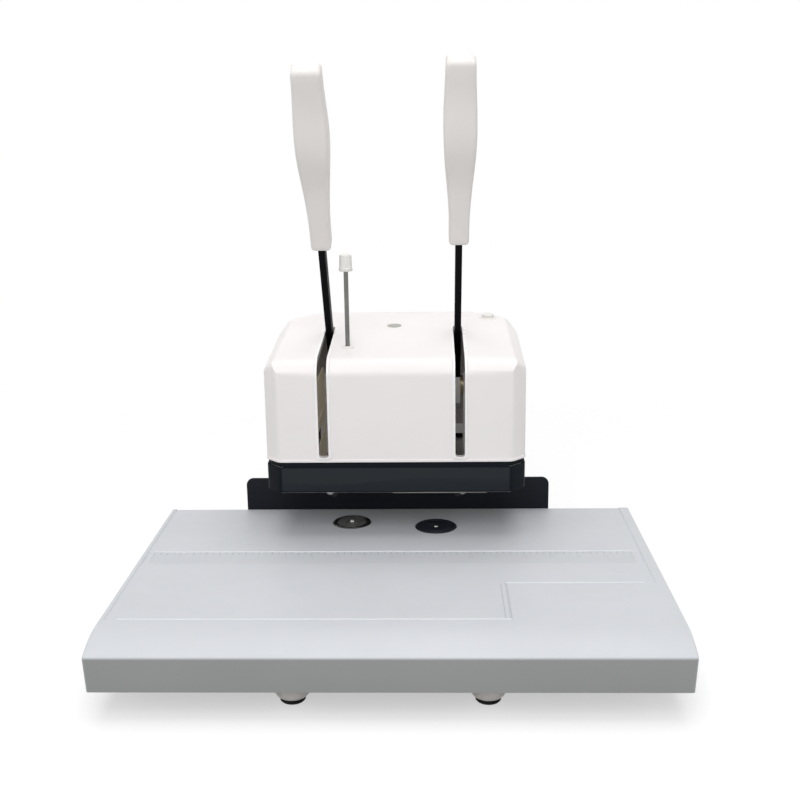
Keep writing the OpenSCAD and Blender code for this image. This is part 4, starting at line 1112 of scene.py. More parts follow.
@dataclass
class WorkDiscs:
    """Drill pad in its steel seat, and the rivet anvil. Profiles count from a radius and the top."""

    lip: float = 0.5
    play: float = 0.05
    sides: int = 96
    pin_sides: int = 32
    pin_shading: float = 60.0
    seat_mouth: Rings = ((0.9, 0.0), (0.6, -0.35), (0.3, -0.35), (0.0, -0.1))
    pad_rim: Rings = ((0.0, -0.5), (-0.5, -0.05))
    pad_face: Rings = (
        (5.2, -0.05), (4.9, -0.5), (4.4, -0.5), (4.1, -0.05), (2.0, -0.05), (1.9, -0.4), (1.0, -0.4))
    pad_pin: Rings = ((1.6, 0.0), (1.6, 0.7), (1.45, 1.1), (1.0, 1.45), (0.5, 1.6), (0.1, 1.65))
    pad_pin_sunk: float = 0.4
    anvil_face: Rings = ((0.0, -0.8), (-0.8, 0.0), (-3.2, 0.0), (-3.5, -0.4), (-4.0, -0.4), (-4.3, 0.0))
    anvil_mouth: Rings = ((2.4, 0.0), (1.2, -0.9), (0.0, -0.9))
    anvil_tip: Rings = ((0.2, 0.0), (0.2, 0.3), (-0.1, 0.9), (-0.7, 1.3))
    anvil_tip_sunk: float = 0.9
    anvil_tip_end: Ring = (0.1, 1.45)

    def drill_side(self) -> None:
        """Turn the seat, the pad and the pad's pin."""
        foot, radius, height = round_node("drill_seat")
        pad_foot, pad_radius, pad_height = round_node("drill_pad")
        inner = pad_radius + self.play
        seat = Workpiece.turned("drill_seat_ring", foot, [
            (radius - self.lip, 0.0), (radius, self.lip), (radius, height - self.lip),
            (radius - self.lip, height), *shifted(self.seat_mouth, inner, height),
            (inner, pad_foot.z - foot.z),
        ], self.sides)
        seat.smooth().seat(DARK_STEEL, "dark_steel", "drill_seat")
        pad = Workpiece.turned("drill_pad_disc", pad_foot, [
            (pad_radius, 0.0), *shifted(self.pad_rim, pad_radius, pad_height),
            *shifted(self.pad_face, 0.0, pad_height),
        ], self.sides)
        pad.smooth().seat(PAD_BROWN, "pad_brown", "drill_pad")
        pin_foot = pad_foot + (pad_height - self.pad_pin_sunk) * UP
        pin = Workpiece.turned("drill_pad_pin", pin_foot, self.pad_pin, self.pin_sides)
        pin.smooth(self.pin_shading).seat(TRIM_WHITE, "pad_brown")

    def rivet_side(self) -> None:
        """Turn the anvil and the tip of its pin."""
        foot, radius, height = round_node("rivet_anvil")
        bore = round_node("anvil_pin")[1] + self.play
        anvil = Workpiece.turned("rivet_anvil_disc", foot, [
            (bore, 0.0), (radius - self.lip, 0.0), (radius, self.lip),
            *shifted(self.anvil_face, radius, height), *shifted(self.anvil_mouth, bore, height),
        ], self.sides, bored=True)
        anvil.smooth().seat(ANVIL_BLACK, "anvil_black", "rivet_anvil")
        tip_foot = foot + (height - self.anvil_tip_sunk) * UP
        tip = Workpiece.turned("anvil_pin_tip", tip_foot, [
            *shifted(self.anvil_tip, bore, 0.0), self.anvil_tip_end], self.pin_sides)
        tip.smooth(self.pin_shading).seat(SCREW_STEEL, "anvil_black")

    def build(self) -> None:
        """Build both discs."""
        self.drill_side()
        self.rivet_side()


@dataclass
class Fence:
    """Upright plate that the paper is pushed against."""

    corner: float = 6.0
    corner_steps: int = 10
    edge: float = 0.5
    edge_steps: int = 3
    screw_in: float = 3.0
    screw_hole: float = 3.05
    screw_sunk: float = 1.0
    hole_sides: int = 32

    def build(self) -> None:
        """Build the plate with round upper corners and counterbored screw holes."""
        low, high = node_box("fence_plate")
        plate = Workpiece.block("fence_blade", low, high)
        plate.pick(Pick.EDGE, lambda at, lean: abs(lean.y) > ALIGNED and at.z > high.z - NEAR)
        plate.bevel(self.corner, self.corner_steps).close().soften(self.edge, self.edge_steps)
        screw_low, screw_high = node_box("fence_screws")
        level = (screw_low.z + screw_high.z) / 2
        for x in (screw_low.x + self.screw_in, screw_high.x - self.screw_in):
            plate.cut(Workpiece.bar(
                "hole_cut", (x, low.y, level), self.screw_hole, 2 * self.screw_sunk, Axis.Y,
                self.hole_sides,
            ))
        plate.smooth().seat(FENCE_BLACK, "fence_black", "fence_plate")


@dataclass(frozen=True)
class Flat:
    """A flat of a convex form: its outward normal and its distance from the origin."""

    normal: Vector
    reach: float

    @classmethod
    def through(cls, point: Sequence[float], normal: Sequence[float]) -> "Flat":
        """The flat that passes through a point."""
        unit = Vector(normal).normalized()
        return cls(unit, unit.dot(Vector(point)))

    def trim(self, work: Workpiece, grow: float) -> None:
        """Cut away what stands out of the flat, once it is moved out by a growth."""
        work.slice(self.normal * (self.reach + grow), self.normal, trim=True)

    def towards(self, other: "Flat", radius: float, steps: int) -> Iterator["Flat"]:
        """Flats that round the edge between this flat and another one.

        Args:
            other: The flat on the edge's other side.
            radius: Radius of the rounding.
            steps: How many flats it has.

        Returns:
            The flats, each of which touches the rounding.
        """
        angle = self.normal.angle(other.normal)
        for step in range(1, steps + 1):
            share = angle * step / (steps + 1)
            near = math.sin(angle - share) / math.sin(angle)
            far = math.sin(share) / math.sin(angle)
            reach = near * self.reach + far * other.reach - (near + far - 1) * radius
            yield Flat(near * self.normal + far * other.normal, reach)


@dataclass
class HeadPlan:
    """Plan of the head: front corners cut off, rear corners in a wide round."""

    chamfer: float = 11.0
    corner_round: float = 8.0
    corner_steps: int = 5
    rear_round: float = 50.0
    rear_steps: int = 16

    def stock(self, name: str, grow: float, low: float, high: float) -> Workpiece:
        """A block of the head's plan whose front corners aren't cut yet.

        Args:
            name: Name of the piece.
            grow: How far it stands out from the plan.
            low: Height of its underside.
            high: Height of its top.

        Returns:
            The block.
        """
        box_low, box_high = node_box("skirt")
        half, front, rear = box_high.x + grow, box_low.y - grow, box_high.y + grow
        work = Workpiece.block(name, (-half, front, low), (half, rear, high))
        work.pick(Pick.EDGE, lambda at, lean: abs(lean.z) > ALIGNED and at.y > rear - NEAR)
        return work.bevel(self.rear_round + grow, self.rear_steps)

    def front(self) -> Flat:
        """The head's front."""
        return Flat.through(node_box("skirt")[0], -BACK)

    def corner(self, side: int) -> Flat:
        """The cut front corner on a side."""
        low, high = node_box("skirt")
        return Flat.through((side * high.x, low.y + self.chamfer, 0), (side, -1, 0))

    def flank(self, side: int) -> Flat:
        """The head's flank on a side."""
        return Flat.through((side * node_box("skirt")[1].x, 0, 0), side * RIGHT)

    def cut_front(self, work: Workpiece, grow: float) -> None:
        """Cut off the front corners of a block that stands out from the plan."""
        for side in (-1, 1):
            corner = self.corner(side)
            corner.trim(work, grow)
            for flat in (
                *self.front().towards(corner, self.corner_round, self.corner_steps),
                *corner.towards(self.flank(side), self.corner_round, self.corner_steps),
            ):
                flat.trim(work, grow)

    def block(self, name: str, grow: float, low: float, high: float) -> Workpiece:
        """A block of the head's plan, made as stock and cut at its front corners."""
        work = self.stock(name, grow, low, high)
        self.cut_front(work, grow)
        return work

    def tube(self, name: str, grow: float, low: float, high: float) -> Workpiece:
        """A block of the head's plan, opened at its ends."""
        return self.block(name, grow, low, high).pick(Pick.FACE, lined(UP)).drop_faces()


@dataclass
class StopScrews:
    """Domed stop screws under the head plate."""

    stud: float = 2.0
    dome_start: int = 88
    dome_step: int = 11
    sides: int = 48
    shading: float = 50.0

    def build(self) -> None:
        """Turn one screw and copy it."""
        low, high = node_box("stop_screws")
        plate_z = node_box("head_plate")[0].z
        radius = (high.y - low.y) / 2
        drop = plate_z - low.z
        turns = (math.radians(angle) for angle in range(self.dome_start, -1, -self.dome_step))
        left = Workpiece.turned(
            "stop_screw_left", (low.x + radius, (low.y + high.y) / 2, plate_z),
            [
                *((radius * math.cos(turn), -drop * math.sin(turn)) for turn in turns),
                (self.stud, 0.0), (self.stud, high.z - plate_z),
            ], self.sides,
        )
        left.smooth(self.shading)
        right = left.twin("stop_screw_right", (high.x - low.x - 2 * radius, 0, 0))
        for screw in (left, right):
            screw.seat(STOP_CHROME, "bright_steel", "stop_screws")


@dataclass
class Skirt:
    """Dark skirt under the hood, with a smoked pane in its front."""

    plan: HeadPlan
    wall: float = 1.6
    band: float = 4.4
    band_step: float = 0.5
    band_in: float = 0.9
    edge: float = 0.15
    shading: float = 25.0
    strip_left: float = -2.4
    strip_right: float = 70.3
    strip_depth: float = 1.8
    strip_drop: float = 0.9
    strip_edge: float = 0.25
    pane_side: float = 1.6
    pane_low: float = 0.9
    pane_thick: float = 1.0
    pane_rise: float = 0.35
    pane_corner: float = 1.2
    pane_edge: float = 0.3

    def build(self) -> None:
        """Build the skirt as a softened ring, its pane and the steel strip under it."""
        low, high = node_box("skirt")
        ring = self.plan.block("skirt_ring", 0.0, low.z, high.z)
        for level in (high.z - self.band, high.z - self.band + self.band_step):
            ring.slice((0, 0, level), UP)
        factors = (1 - self.band_in / high.x, 1 - 2 * self.band_in / (high.y - low.y), 1)
        ring.pick(Pick.POINT, lambda at, _: at.z > high.z - self.band + self.band_step / 2)
        ring.resize(factors, (0, (low.y + high.y) / 2, high.z))
        ring.pick(Pick.FACE, lined(UP)).drop_faces()
        ring.close().wall(self.wall).soften(self.edge)
        ring.smooth(self.shading).seat(SKIRT_BLACK, "skirt_black", "skirt")
        half = high.x - self.plan.chamfer - self.pane_side
        pane_front = low.y - self.pane_rise
        pane = Workpiece.slab(
            "skirt_pane", (-half, pane_front, low.z + self.pane_low),
            (half, pane_front + self.pane_thick, high.z - self.band - self.band_step),
            BACK, self.pane_corner,
        )
        pane.soften(self.pane_edge).smooth().seat(SMOKE_PANE, "skirt_black")
        strip = Workpiece.block(
            "skirt_strip", (self.strip_left, low.y + self.edge, low.z - self.strip_drop),
            (self.strip_right, low.y + self.strip_depth, low.z),
        )
        strip.soften(self.strip_edge).smooth().seat(DULL_STEEL, "skirt_black")


@dataclass
class SidePlates:
    """Sheet steel plates that stand on the head plate beside the levers."""

    thick: float = 1.2
    edge: float = 0.25
    front: float = 31.0
    back: float = 105.0
    top: float = 172.0
    nose: float = 9.0
    nose_steps: int = 6
    foot: float = 6.0
    rib_level: float = 139.0
    rib: float = 1.5
    corner: float = 1.5
    window_lows: tuple[float, float] = (118.0, 147.0)
    window_height: float = 12.0
    window_in: float = 8.0
    window_reach: float = 5.0
    places: tuple[float, float] = (-61.6, 57.2)
    clip_low: Triple = (41.0, 158.5, 97.6)
    clip_high: Triple = (61.0, 159.9, 106.4)

    def plate(self, name: str, x: float, window_low: float) -> Workpiece:
        """A plate with a bent foot, a rib and a window.

        Args:
            name: Name of the piece.
            x: Sideways place of the plate.
            window_low: Height of the window's lower edge.

        Returns:
            The plate.
        """
        floor = node_box("head_plate")[1].z
        way = -1 if x < 0 else 1
        half = self.thick / 2
        rib_top = self.rib_level + self.rib
        plate = Workpiece.block(name, (x - half, self.front, floor), (x + half, self.back, self.top))
        for level in (floor + self.thick, self.rib_level, rib_top):
            plate.slice((0, 0, level), UP)
        plate.pick(Pick.FACE, lambda at, normal: (
            normal.x * way > ALIGNED and at.z < floor + self.thick))
        plate.extrude((way * self.foot, 0, 0))
        plate.pick(Pick.FACE, lambda at, normal: (
            normal.x * way < -ALIGNED and self.rib_level < at.z < rib_top))
        plate.extrude((-way * self.rib / 2, 0, 0))
        plate.pick(Pick.EDGE, lambda at, lean: abs(lean.x) > ALIGNED and at.z > self.top - NEAR)
        plate.bevel(self.nose, self.nose_steps).close()
        return plate.cut(Workpiece.slab(
            "window_cut", (x - self.window_reach, self.front + self.window_in, window_low),
            (x + self.window_reach, self.back - self.window_in, window_low + self.window_height),
            RIGHT, self.corner,
        ))

    def build(self) -> None:
        """Build the clip on the skirt's rear wall, behind the right slot, and a plate at each lever."""
        clip = Workpiece.slab("skirt_clip", self.clip_low, self.clip_high, BACK, self.corner)
        clip.soften(self.edge).smooth().seat(ZINC_GREY, "machined_steel")
        rows = zip(SIDES, self.places, self.window_lows, (ZINC_KHAKI, ZINC_GREY))
        for side, x, window_low, finish in rows:
            plate = self.plate(f"side_plate_{side}", x, window_low)
            plate.soften(self.edge).smooth().seat(finish, "machined_steel")


@dataclass
class Hood:
    """White hood: sloping top, soft corners, two lever slots with raised rims."""

    plan: HeadPlan
    low: float = 114.0
    front_top: float = 192.5
    spare: float = 60.0
    slope: float = 6.0
    front_round: float = 14.0
    front_steps: int = 12
    rear_edge: float = 3.4
    rear_steps: int = 5
    rear_margin: float = 0.2
    side_chamfer: float = 9.0
    edge_round: float = 6.5
    edge_steps: int = 5
    corner_top_steps: int = 8
    corner_side_steps: int = 6
    wall: float = 3.0
    shading: float = 28.0
    slots: tuple[float, float] = (-54.8, 49.8)
    slot_width: float = 7.4
    slot_low: float = 121.49
    slot_end: float = 109.27
    # Share of a slot's half width to which its lower corners are rounded
    slot_corner: float = 0.55
    slot_low_steps: int = 8
    slot_end_steps: int = 10
    rim_width: float = 2.0
    rim_height: float = 1.0
    rim_root: float = 0.6
    rim_edge: float = 0.7
    rim_steps: int = 4
    rim_angle: float = 45.0
    lip_drop: float = 0.2
    lip_height: float = 2.0
    lip_out: float = 0.45
    lip_root: float = 1.0
    lip_edge: float = 0.35
    lip_steps: int = 3
    vent_count: int = 7
    vent_width: float = 3.0
    vent_height: float = 34.0
    vent_step: float = 8.0
    vent_reach: float = 8.0
    vent_corner: float = 1.491
    vent_steps: int = 6
    tongue_in: float = 2.55
    tongue_height: float = 7.0
    tongue_wall: float = 2.0
    tongue_edge: float = 0.3
    bush_play: float = 0.05
    lens_overlap: float = 1.45
    button_overlap: float = 0.8

    def form(self, name: str, grow: float) -> Workpiece:
        """Solid form of the hood.

        Args:
            name: Name of the piece.
            grow: How far it stands out from the hood's surface.

        Returns:
            The form, open below.
        """
        low, high = node_box("skirt")
        angle = math.radians(self.slope)
        sine, cosine = math.sin(angle), math.cos(angle)
        work = self.plan.stock(name, grow, self.low, self.front_top + self.spare)
        top = Flat.through((0, low.y, self.front_top), (0, -sine, cosine))
        top.trim(work, grow)
        round_start = high.y - self.plan.rear_round + self.rear_margin
        work.pick(Pick.EDGE, lambda at, _: (
            abs(at.dot(top.normal) - top.reach - grow) < NEAR and at.y > round_start))
        work.bevel(self.rear_edge + grow, self.rear_steps)
        self.plan.cut_front(work, grow)
        for side in (-1, 1):
            edge = (side * (high.x - self.side_chamfer), low.y, self.front_top)
            chamfer = Flat.through(edge, (side, -sine, cosine))
            chamfer.trim(work, grow)
            corner = self.plan.corner(side)
            for flat in (
                *top.towards(chamfer, self.edge_round, self.edge_steps),
                *chamfer.towards(self.plan.flank(side), self.edge_round, self.edge_steps),
                *corner.towards(top, self.edge_round, self.corner_top_steps),
                *corner.towards(chamfer, self.edge_round, self.corner_side_steps),
            ):
                flat.trim(work, grow)
        for flat in self.plan.front().towards(top, self.front_round, self.front_steps):
            flat.trim(work, grow)
        return work.pick(Pick.FACE, facing(-UP)).drop_faces().close()

    def slot_cutter(self, middle: float, width: float) -> Workpiece:
        """Form of a lever slot through the hood's front and top.

        Args:
            middle: Sideways place of the slot.
            width: Width of the slot.

        Returns:
            The cutter.
        """
        front = node_box("skirt")[0].y - THROUGH / 2
        radius = width / 2
        cutter = Workpiece.block(
            "slot_cut", (middle - radius, front, self.slot_low - radius),
            (middle + radius, self.slot_end + radius, self.front_top + self.spare),
        )
        cutter.pick(Pick.EDGE, lambda at, lean: abs(lean.y) > ALIGNED and at.z < self.slot_low)
        cutter.bevel(radius * self.slot_corner, self.slot_low_steps)
        cutter.pick(Pick.EDGE, lambda at, lean: abs(lean.z) > ALIGNED and at.y > self.slot_end)
        cutter.bevel(radius * FULL_ROUND, self.slot_end_steps)
        return cutter.close()

    def slot_cutters(self) -> list[Workpiece]:
        """Cutters of both lever slots."""
        return [self.slot_cutter(x, self.slot_width) for x in self.slots]

    def holes(self) -> Iterator[Workpiece]:
        """Cutters of the fittings' holes in the top and of the vents in the back."""
        for node, gap, turn in (
            ("ejector_bush", self.bush_play, 0.0),
            ("indicator_lens", -self.lens_overlap, self.slope),
            ("push_button", -self.button_overlap, self.slope),
        ):
            low, high = node_box(node)
            hole = Workpiece.bar("hole_cut", (0, 0, 0), (high.x - low.x) / 2 + gap, THROUGH)
            yield hole.turn_and_place((turn, 0, 0), (low + high) / 2)
        rear = node_box("skirt")[1].y
        centre = self.low + (self.front_top - self.low) / 2
        left = -self.vent_step * (self.vent_count - 1) / 2
        half = self.vent_width / 2
        vent = Workpiece.slab(
            "vent_cut", (left - half, rear - self.vent_reach, centre - self.vent_height / 2),
            (left + half, rear + self.vent_reach, centre + self.vent_height / 2),
            BACK, self.vent_corner, self.vent_steps,
        )
        yield vent.repeat(self.vent_count, (self.vent_step, 0, 0))

    def build(self) -> None:
        """Build the shell, the slot rims, the lip and the tongue."""
        shell = self.form("hood_shell", 0.0).wall(self.wall)
        shell.cut(*self.slot_cutters()).cut(*self.holes())
        shell.smooth(self.shading).seat(HOOD_WHITE, "hood_white", "hood")
        for x, side in zip(self.slots, SIDES):
            rim = self.form(f"slot_rim_{side}", self.rim_height).wall(self.rim_height + self.rim_root)
            rim.combine(self.slot_cutter(x, self.slot_width + 2 * self.rim_width), "INTERSECT")
            rim.soften(self.rim_edge, self.rim_steps, self.rim_angle)
            rim.cut(self.slot_cutter(x, self.slot_width))
            # The rims are whiter than the hood: painted highlight.
            rim.smooth(self.shading).seat(RIM_HIGHLIGHT_WHITE, "hood_white")
        lip = self.plan.tube(
            "hood_lip", self.lip_out, self.low - self.lip_drop, self.low + self.lip_height)
        lip.close().wall(self.lip_out + self.lip_root).soften(self.lip_edge, self.lip_steps)
        lip.smooth().seat(HOOD_WHITE, "hood_white")
        tongue = self.plan.tube(
            "hood_tongue", -self.tongue_in, self.low - self.tongue_height, self.low + self.tongue_height)
        tongue.close().wall(self.tongue_wall).soften(self.tongue_edge)
        tongue.cut(*self.slot_cutters()).smooth().seat(HOOD_WHITE, "hood_white")


@dataclass
class HoodFittings:
    """Ejector bush, indicator lens and push button on the hood."""

    slope: float = Hood.slope
    bush_bore: float = 1.8
    # Stretches of the bush's profile, counted from a radius and the top
    bush_edge: Rings = ((0.0, -0.7), (-0.2, -0.25), (-0.7, 0.0))
    bush_mouth: Rings = ((0.9, 0.0), (0.2, -0.4), (0.0, -0.9))
    # Radius and height of each ring of the other fittings, counted from the hood's top
    lens: Rings = (
        (7.5, -6.0), (7.5, -3.5), (5.95, -3.5), (5.95, -0.25), (5.6, 0.0), (5.0, 0.1), (3.4, 0.28),
        (1.6, 0.38), (0.2, 0.4),
    )
    button: Rings = (
        (6.3, -6.0), (6.3, -3.5), (4.7, -3.5), (4.7, 2.3), (4.5, 2.85), (4.0, 3.15), (3.0, 3.2),
        (1.9, 3.0), (0.3, 2.9),
    )
    collar: Rings = ((5.0, -0.4), (7.6, -0.4), (7.6, 0.3), (7.2, 0.65), (5.5, 0.7), (5.0, 0.35))

    def on_top(self, node: str) -> Vector:
        """Point on the hood's top over the axis of a fitting, found from its node's box."""
        low, high = node_box(node)
        middle = (low + high) / 2
        rise = math.tan(math.radians(self.slope))
        level = Hood.front_top + (middle.y - node_box("skirt")[0].y) * rise
        drop = level - middle.z
        return Vector((middle.x, middle.y - drop * rise, level - drop * rise * rise))

    def fitting(self, name: str, node: str, rings: Rings, bored: bool = False) -> Workpiece:
        """Turn a fitting and set it on the hood's top.

        Args:
            name: Name of the piece.
            node: Frame node on whose axis it stands.
            rings: Its profile.
            bored: Whether it is a ring.

        Returns:
            The fitting.
        """
        work = Workpiece.turned(name, (0, 0, 0), rings, bored=bored)
        return work.turn_and_place((self.slope, 0, 0), self.on_top(node)).smooth()

    def build(self) -> None:
        """Turn the bush, the lens, the button and the button's collar."""
        foot, radius, tall = round_node("ejector_bush")
        bush = Workpiece.turned("ejector_bush_ring", foot, [
            (self.bush_bore, 0.0), (radius, 0.0), *shifted(self.bush_edge, radius, tall),
            *shifted(self.bush_mouth, self.bush_bore, tall),
        ], bored=True)
        bush.smooth().seat(TRIM_WHITE, "trim_white", "ejector_bush")
        lens = self.fitting("indicator_lens_cap", "indicator_lens", self.lens)
        lens.seat(LENS_GREY, "lens_grey", "indicator_lens")
        button = self.fitting("push_button_cap", "push_button", self.button)
        button.seat(TRIM_WHITE, "trim_white", "push_button", body="push_button")
        collar = self.fitting("button_collar", "push_button", self.collar, bored=True)
        collar.seat(TRIM_WHITE, "trim_white")


@dataclass(frozen=True)
class ScrewHead:
    """Round screw head with a cross recess."""

    radius: float = 3.0
    rise: float = 1.5
    rim: float = 0.3
    recess: float = 0.7
    sides: int = 32
    # Shares of the radius and of the rise
    dome: Rings = ((0.92, 0.65), (0.72, 0.9), (0.4, 1.0), (0.1, 1.0))
    # Half length and half width of the cross, as shares of the radius
    cross_reach: float = 0.55
    cross_half: float = 0.14

    def make(self, name: str) -> Workpiece:
        """Turn a head that stands at the origin with its axis along Z, and cut its cross."""
        head = Workpiece.turned(name, (0, 0, 0), [
            (self.radius, 0.0), (self.radius, self.rim),
            *((out * self.radius, up * self.rise) for out, up in self.dome),
        ], self.sides)
        reach, half = self.cross_reach * self.radius, self.cross_half * self.radius
        for long_x, long_y in ((reach, half), (half, reach)):
            head.cut(Workpiece.block(
                "cross_cut", (-long_x, -long_y, self.rise - self.recess),
                (long_x, long_y, 2 * self.rise),
            ))
        return head.smooth()

    def seat(
        self, stem: str, seats: Sequence[tuple[Triple, Triple]], finish: Finish, *nodes: str
    ) -> None:
        """Make one head and seat a copy of it in each place.

        Args:
            stem: Name of the heads, before their numbers.
            seats: Turn and place of each head.
            finish: Finish of the heads.
            nodes: Frame nodes that they stand for.
        """
        first = self.make(stem)
        for index, (turn, place) in enumerate(seats, 1):
            copy = first.twin(f"{stem}_{index}").turn_and_place(turn, place)
            copy.seat(finish, "structure_black", *nodes)
        bpy.data.objects.remove(first.piece)


@dataclass
class HoodScrews:
    """Screws in the skirt's sides that hold the hood's tongue."""

    head: ScrewHead = ScrewHead()

    def build(self) -> None:
        """Set two heads on each side of the skirt."""
        low, high = node_box("hood_screws")
        level = (low.z + high.z) / 2
        radius = (high.z - low.z) / 2
        side_x = node_box("skirt")[1].x
        seats = [
            ((0, way * QUARTER, 0), (way * side_x, y, level))
            for way in (-1, 1) for y in (low.y + radius, high.y - radius)
        ]
        self.head.seat("hood_screw", seats, COAT_BLACK, "hood_screws")


@dataclass
class Lever:
    """One lever: a flat bar on a plated hub, and a grip in two halves."""

    side: str
    middle: float
    lean: float
    plating: Finish
    pivot: tuple[float, float] = (128.0, 149.0)
    shading: float = 30.0
    bar_thick: float = 5.2
    bar_broad: float = 13.0
    bar_low: float = 13.8
    bar_edge: float = 0.7
    bar_steps: int = 3
    hub_thick: float = 5.0
    hub_radius: float = 15.6
    hub_bore: float = 8.65
    hub_edge: float = 0.5
    hub_sides: int = 96
    grip_start: float = 147.0
    grip_length: float = 149.0
    grip_neck: float = 14.0
    grip_bulge: float = 96.0
    low_width: float = 15.3
    max_width: float = 23.8
    top_width: float = 20.6
    low_depth: float = 17.0
    max_depth: float = 24.0
    top_depth: float = 16.5
    hump_start: float = 48.0
    hump: float = 86.0
    hump_end: float = 126.0
    grip_round: float = 3.0
    grip_steps: int = 5
    stations: int = 24
    crown: float = 5.0
    crown_steps: int = 6
    tang: float = 118.0
    seam: float = 0.6
    play: float = 0.05

    def width(self, height: float) -> float:
        """Width of the grip at a height above its lower end."""
        if height < self.grip_bulge:
            share = (height - self.grip_neck) / (self.grip_bulge - self.grip_neck)
            return ease(self.low_width, self.max_width, share)
        share = (height - self.grip_bulge) / (self.grip_length - self.grip_bulge)
        return ease(self.max_width, self.top_width, share)

    def depth(self, height: float) -> float:
        """Depth of the grip at a height above its lower end."""
        if height < self.hump:
            share = (height - self.hump_start) / (self.hump - self.hump_start)
            return ease(self.low_depth, self.max_depth, share)
        share = (height - self.hump) / (self.hump_end - self.hump)
        return ease(self.max_depth, self.top_depth, share)

    def drawn_in(self, height: float) -> float:
        """How far the crown's rounding draws the grip in at a height."""
        reach = max(0.0, height - self.grip_length + self.crown)
        return self.crown - math.sqrt(self.crown**2 - reach**2)

    def seat(self, work: Workpiece, finish: Finish, slot: str, node: str) -> None:
        """Lean a piece of the lever, set it on its pivot and dress it.

        Args:
            work: The piece, drawn with the bar along Z.
            finish: Finish of the piece.
            slot: Material slot of the record.
            node: Frame node that it stands for, without the side.
        """
        work.turn_and_place((self.lean, 0, 0), (self.middle, *self.pivot)).smooth(self.shading)
        work.seat(finish, slot, f"{node}_{self.side}", body=f"lever_{self.side}")

    def bar(self) -> None:
        """Build the bar and its hub."""
        half, broad = self.bar_thick / 2, self.bar_broad / 2
        bar = Workpiece.block(
            f"lever_bar_{self.side}", (-half, -broad, self.bar_low),
            (half, broad, self.grip_start + self.tang),
        )
        self.seat(bar.soften(self.bar_edge, self.bar_steps), LEVER_BLACK, "lever_black", "lever_arm")
        hub, bore = (
            Workpiece.bar(name, (0, 0, 0), radius, length, Axis.X, self.hub_sides)
            for name, radius, length in (
                (f"lever_hub_{self.side}", self.hub_radius, self.hub_thick),
                ("bore_cut", self.hub_bore, THROUGH),
            )
        )
        self.seat(hub.cut(bore).soften(self.hub_edge), self.plating, "lever_black", "lever_arm")

    def grip(self) -> Workpiece:
        """Whole form of the grip, shaped ring by ring."""
        half_width, half_depth = self.low_width / 2, self.low_depth / 2
        end = self.grip_start + self.grip_length
        grip = Workpiece.block(
            "grip", (-half_width, -half_depth, self.grip_start), (half_width, half_depth, end))
        straight = self.grip_length - self.crown
        quarter = math.pi / 2 / self.crown_steps
        heights = [
            *(straight * step / self.stations for step in range(1, self.stations + 1)),
            *(straight + self.crown * math.sin(quarter * step) for step in range(1, self.crown_steps + 1)),
        ]
        for height in heights[:-1]:
            grip.slice((0, 0, self.grip_start + height), UP)
        for height in heights:
            level = self.grip_start + height
            shrink = 2 * self.drawn_in(height)
            grip.pick(Pick.POINT, lambda at, _: abs(at.z - level) < NEAR)
            grip.resize((
                (self.width(height) - shrink) / self.low_width,
                (self.depth(height) - shrink) / self.low_depth, 1,
            ), (0, 0, level))
        return grip.close().soften(self.grip_round, self.grip_steps)

    def halves(self) -> None:
        """Split the grip at its seam and hollow the halves for the tang."""
        whole = self.grip()
        half, broad = self.bar_thick / 2 + self.play, self.bar_broad / 2 + self.play
        for name, way in (("front", BACK), ("back", -BACK)):
            part = whole.twin(f"grip_shell_{name}_{self.side}")
            part.slice((0, 0, 0), way, trim=True)
            part.close()
            part.pick(Pick.EDGE, lambda at, _: abs(at.y) < NEAR and abs(at.z - self.grip_start) > CLEAR)
            part.bevel(self.seam, 1).close()
            part.cut(Workpiece.block(
                "tang_cut", (-half, -broad, self.grip_start - CLEAR),
                (half, broad, self.grip_start + self.tang + self.play),
            ))
            self.seat(part, GRIP_WHITE, "grip_white", f"grip_{name}")
        bpy.data.objects.remove(whole.piece)

    def build(self) -> None:
        """Build the bar and the grip."""
        self.bar()
        self.halves()


@dataclass
class Ejector:
    """Cap on the chip ejector's rod. Stretches of its profile count from its radius."""

    bore: float = 1.8
    # Depth of the rod's socket as a share of the cap's height
    socket: float = 0.46
    tip: float = 0.4
    foot_rings: Rings = ((-0.6, 0.0), (0.0, 0.5), (0.0, 2.4), (-0.35, 2.8))
    head_rings: Rings = ((-0.6, -1.4), (-0.9, -0.5), (-1.7, 0.0))

    def build(self) -> None:
        """Turn the cap."""
        foot, radius, tall = round_node("ejector_cap")
        cap = Workpiece.turned("ejector_cap_knob", foot, [
            (self.bore, self.socket * tall), (self.bore, 0.0),
            *shifted(self.foot_rings, radius, 0.0), *shifted(self.head_rings, radius, tall),
            (self.tip, tall),
        ])
        cap.smooth().seat(TRIM_WHITE, "trim_white", "ejector_cap", body="ejector")


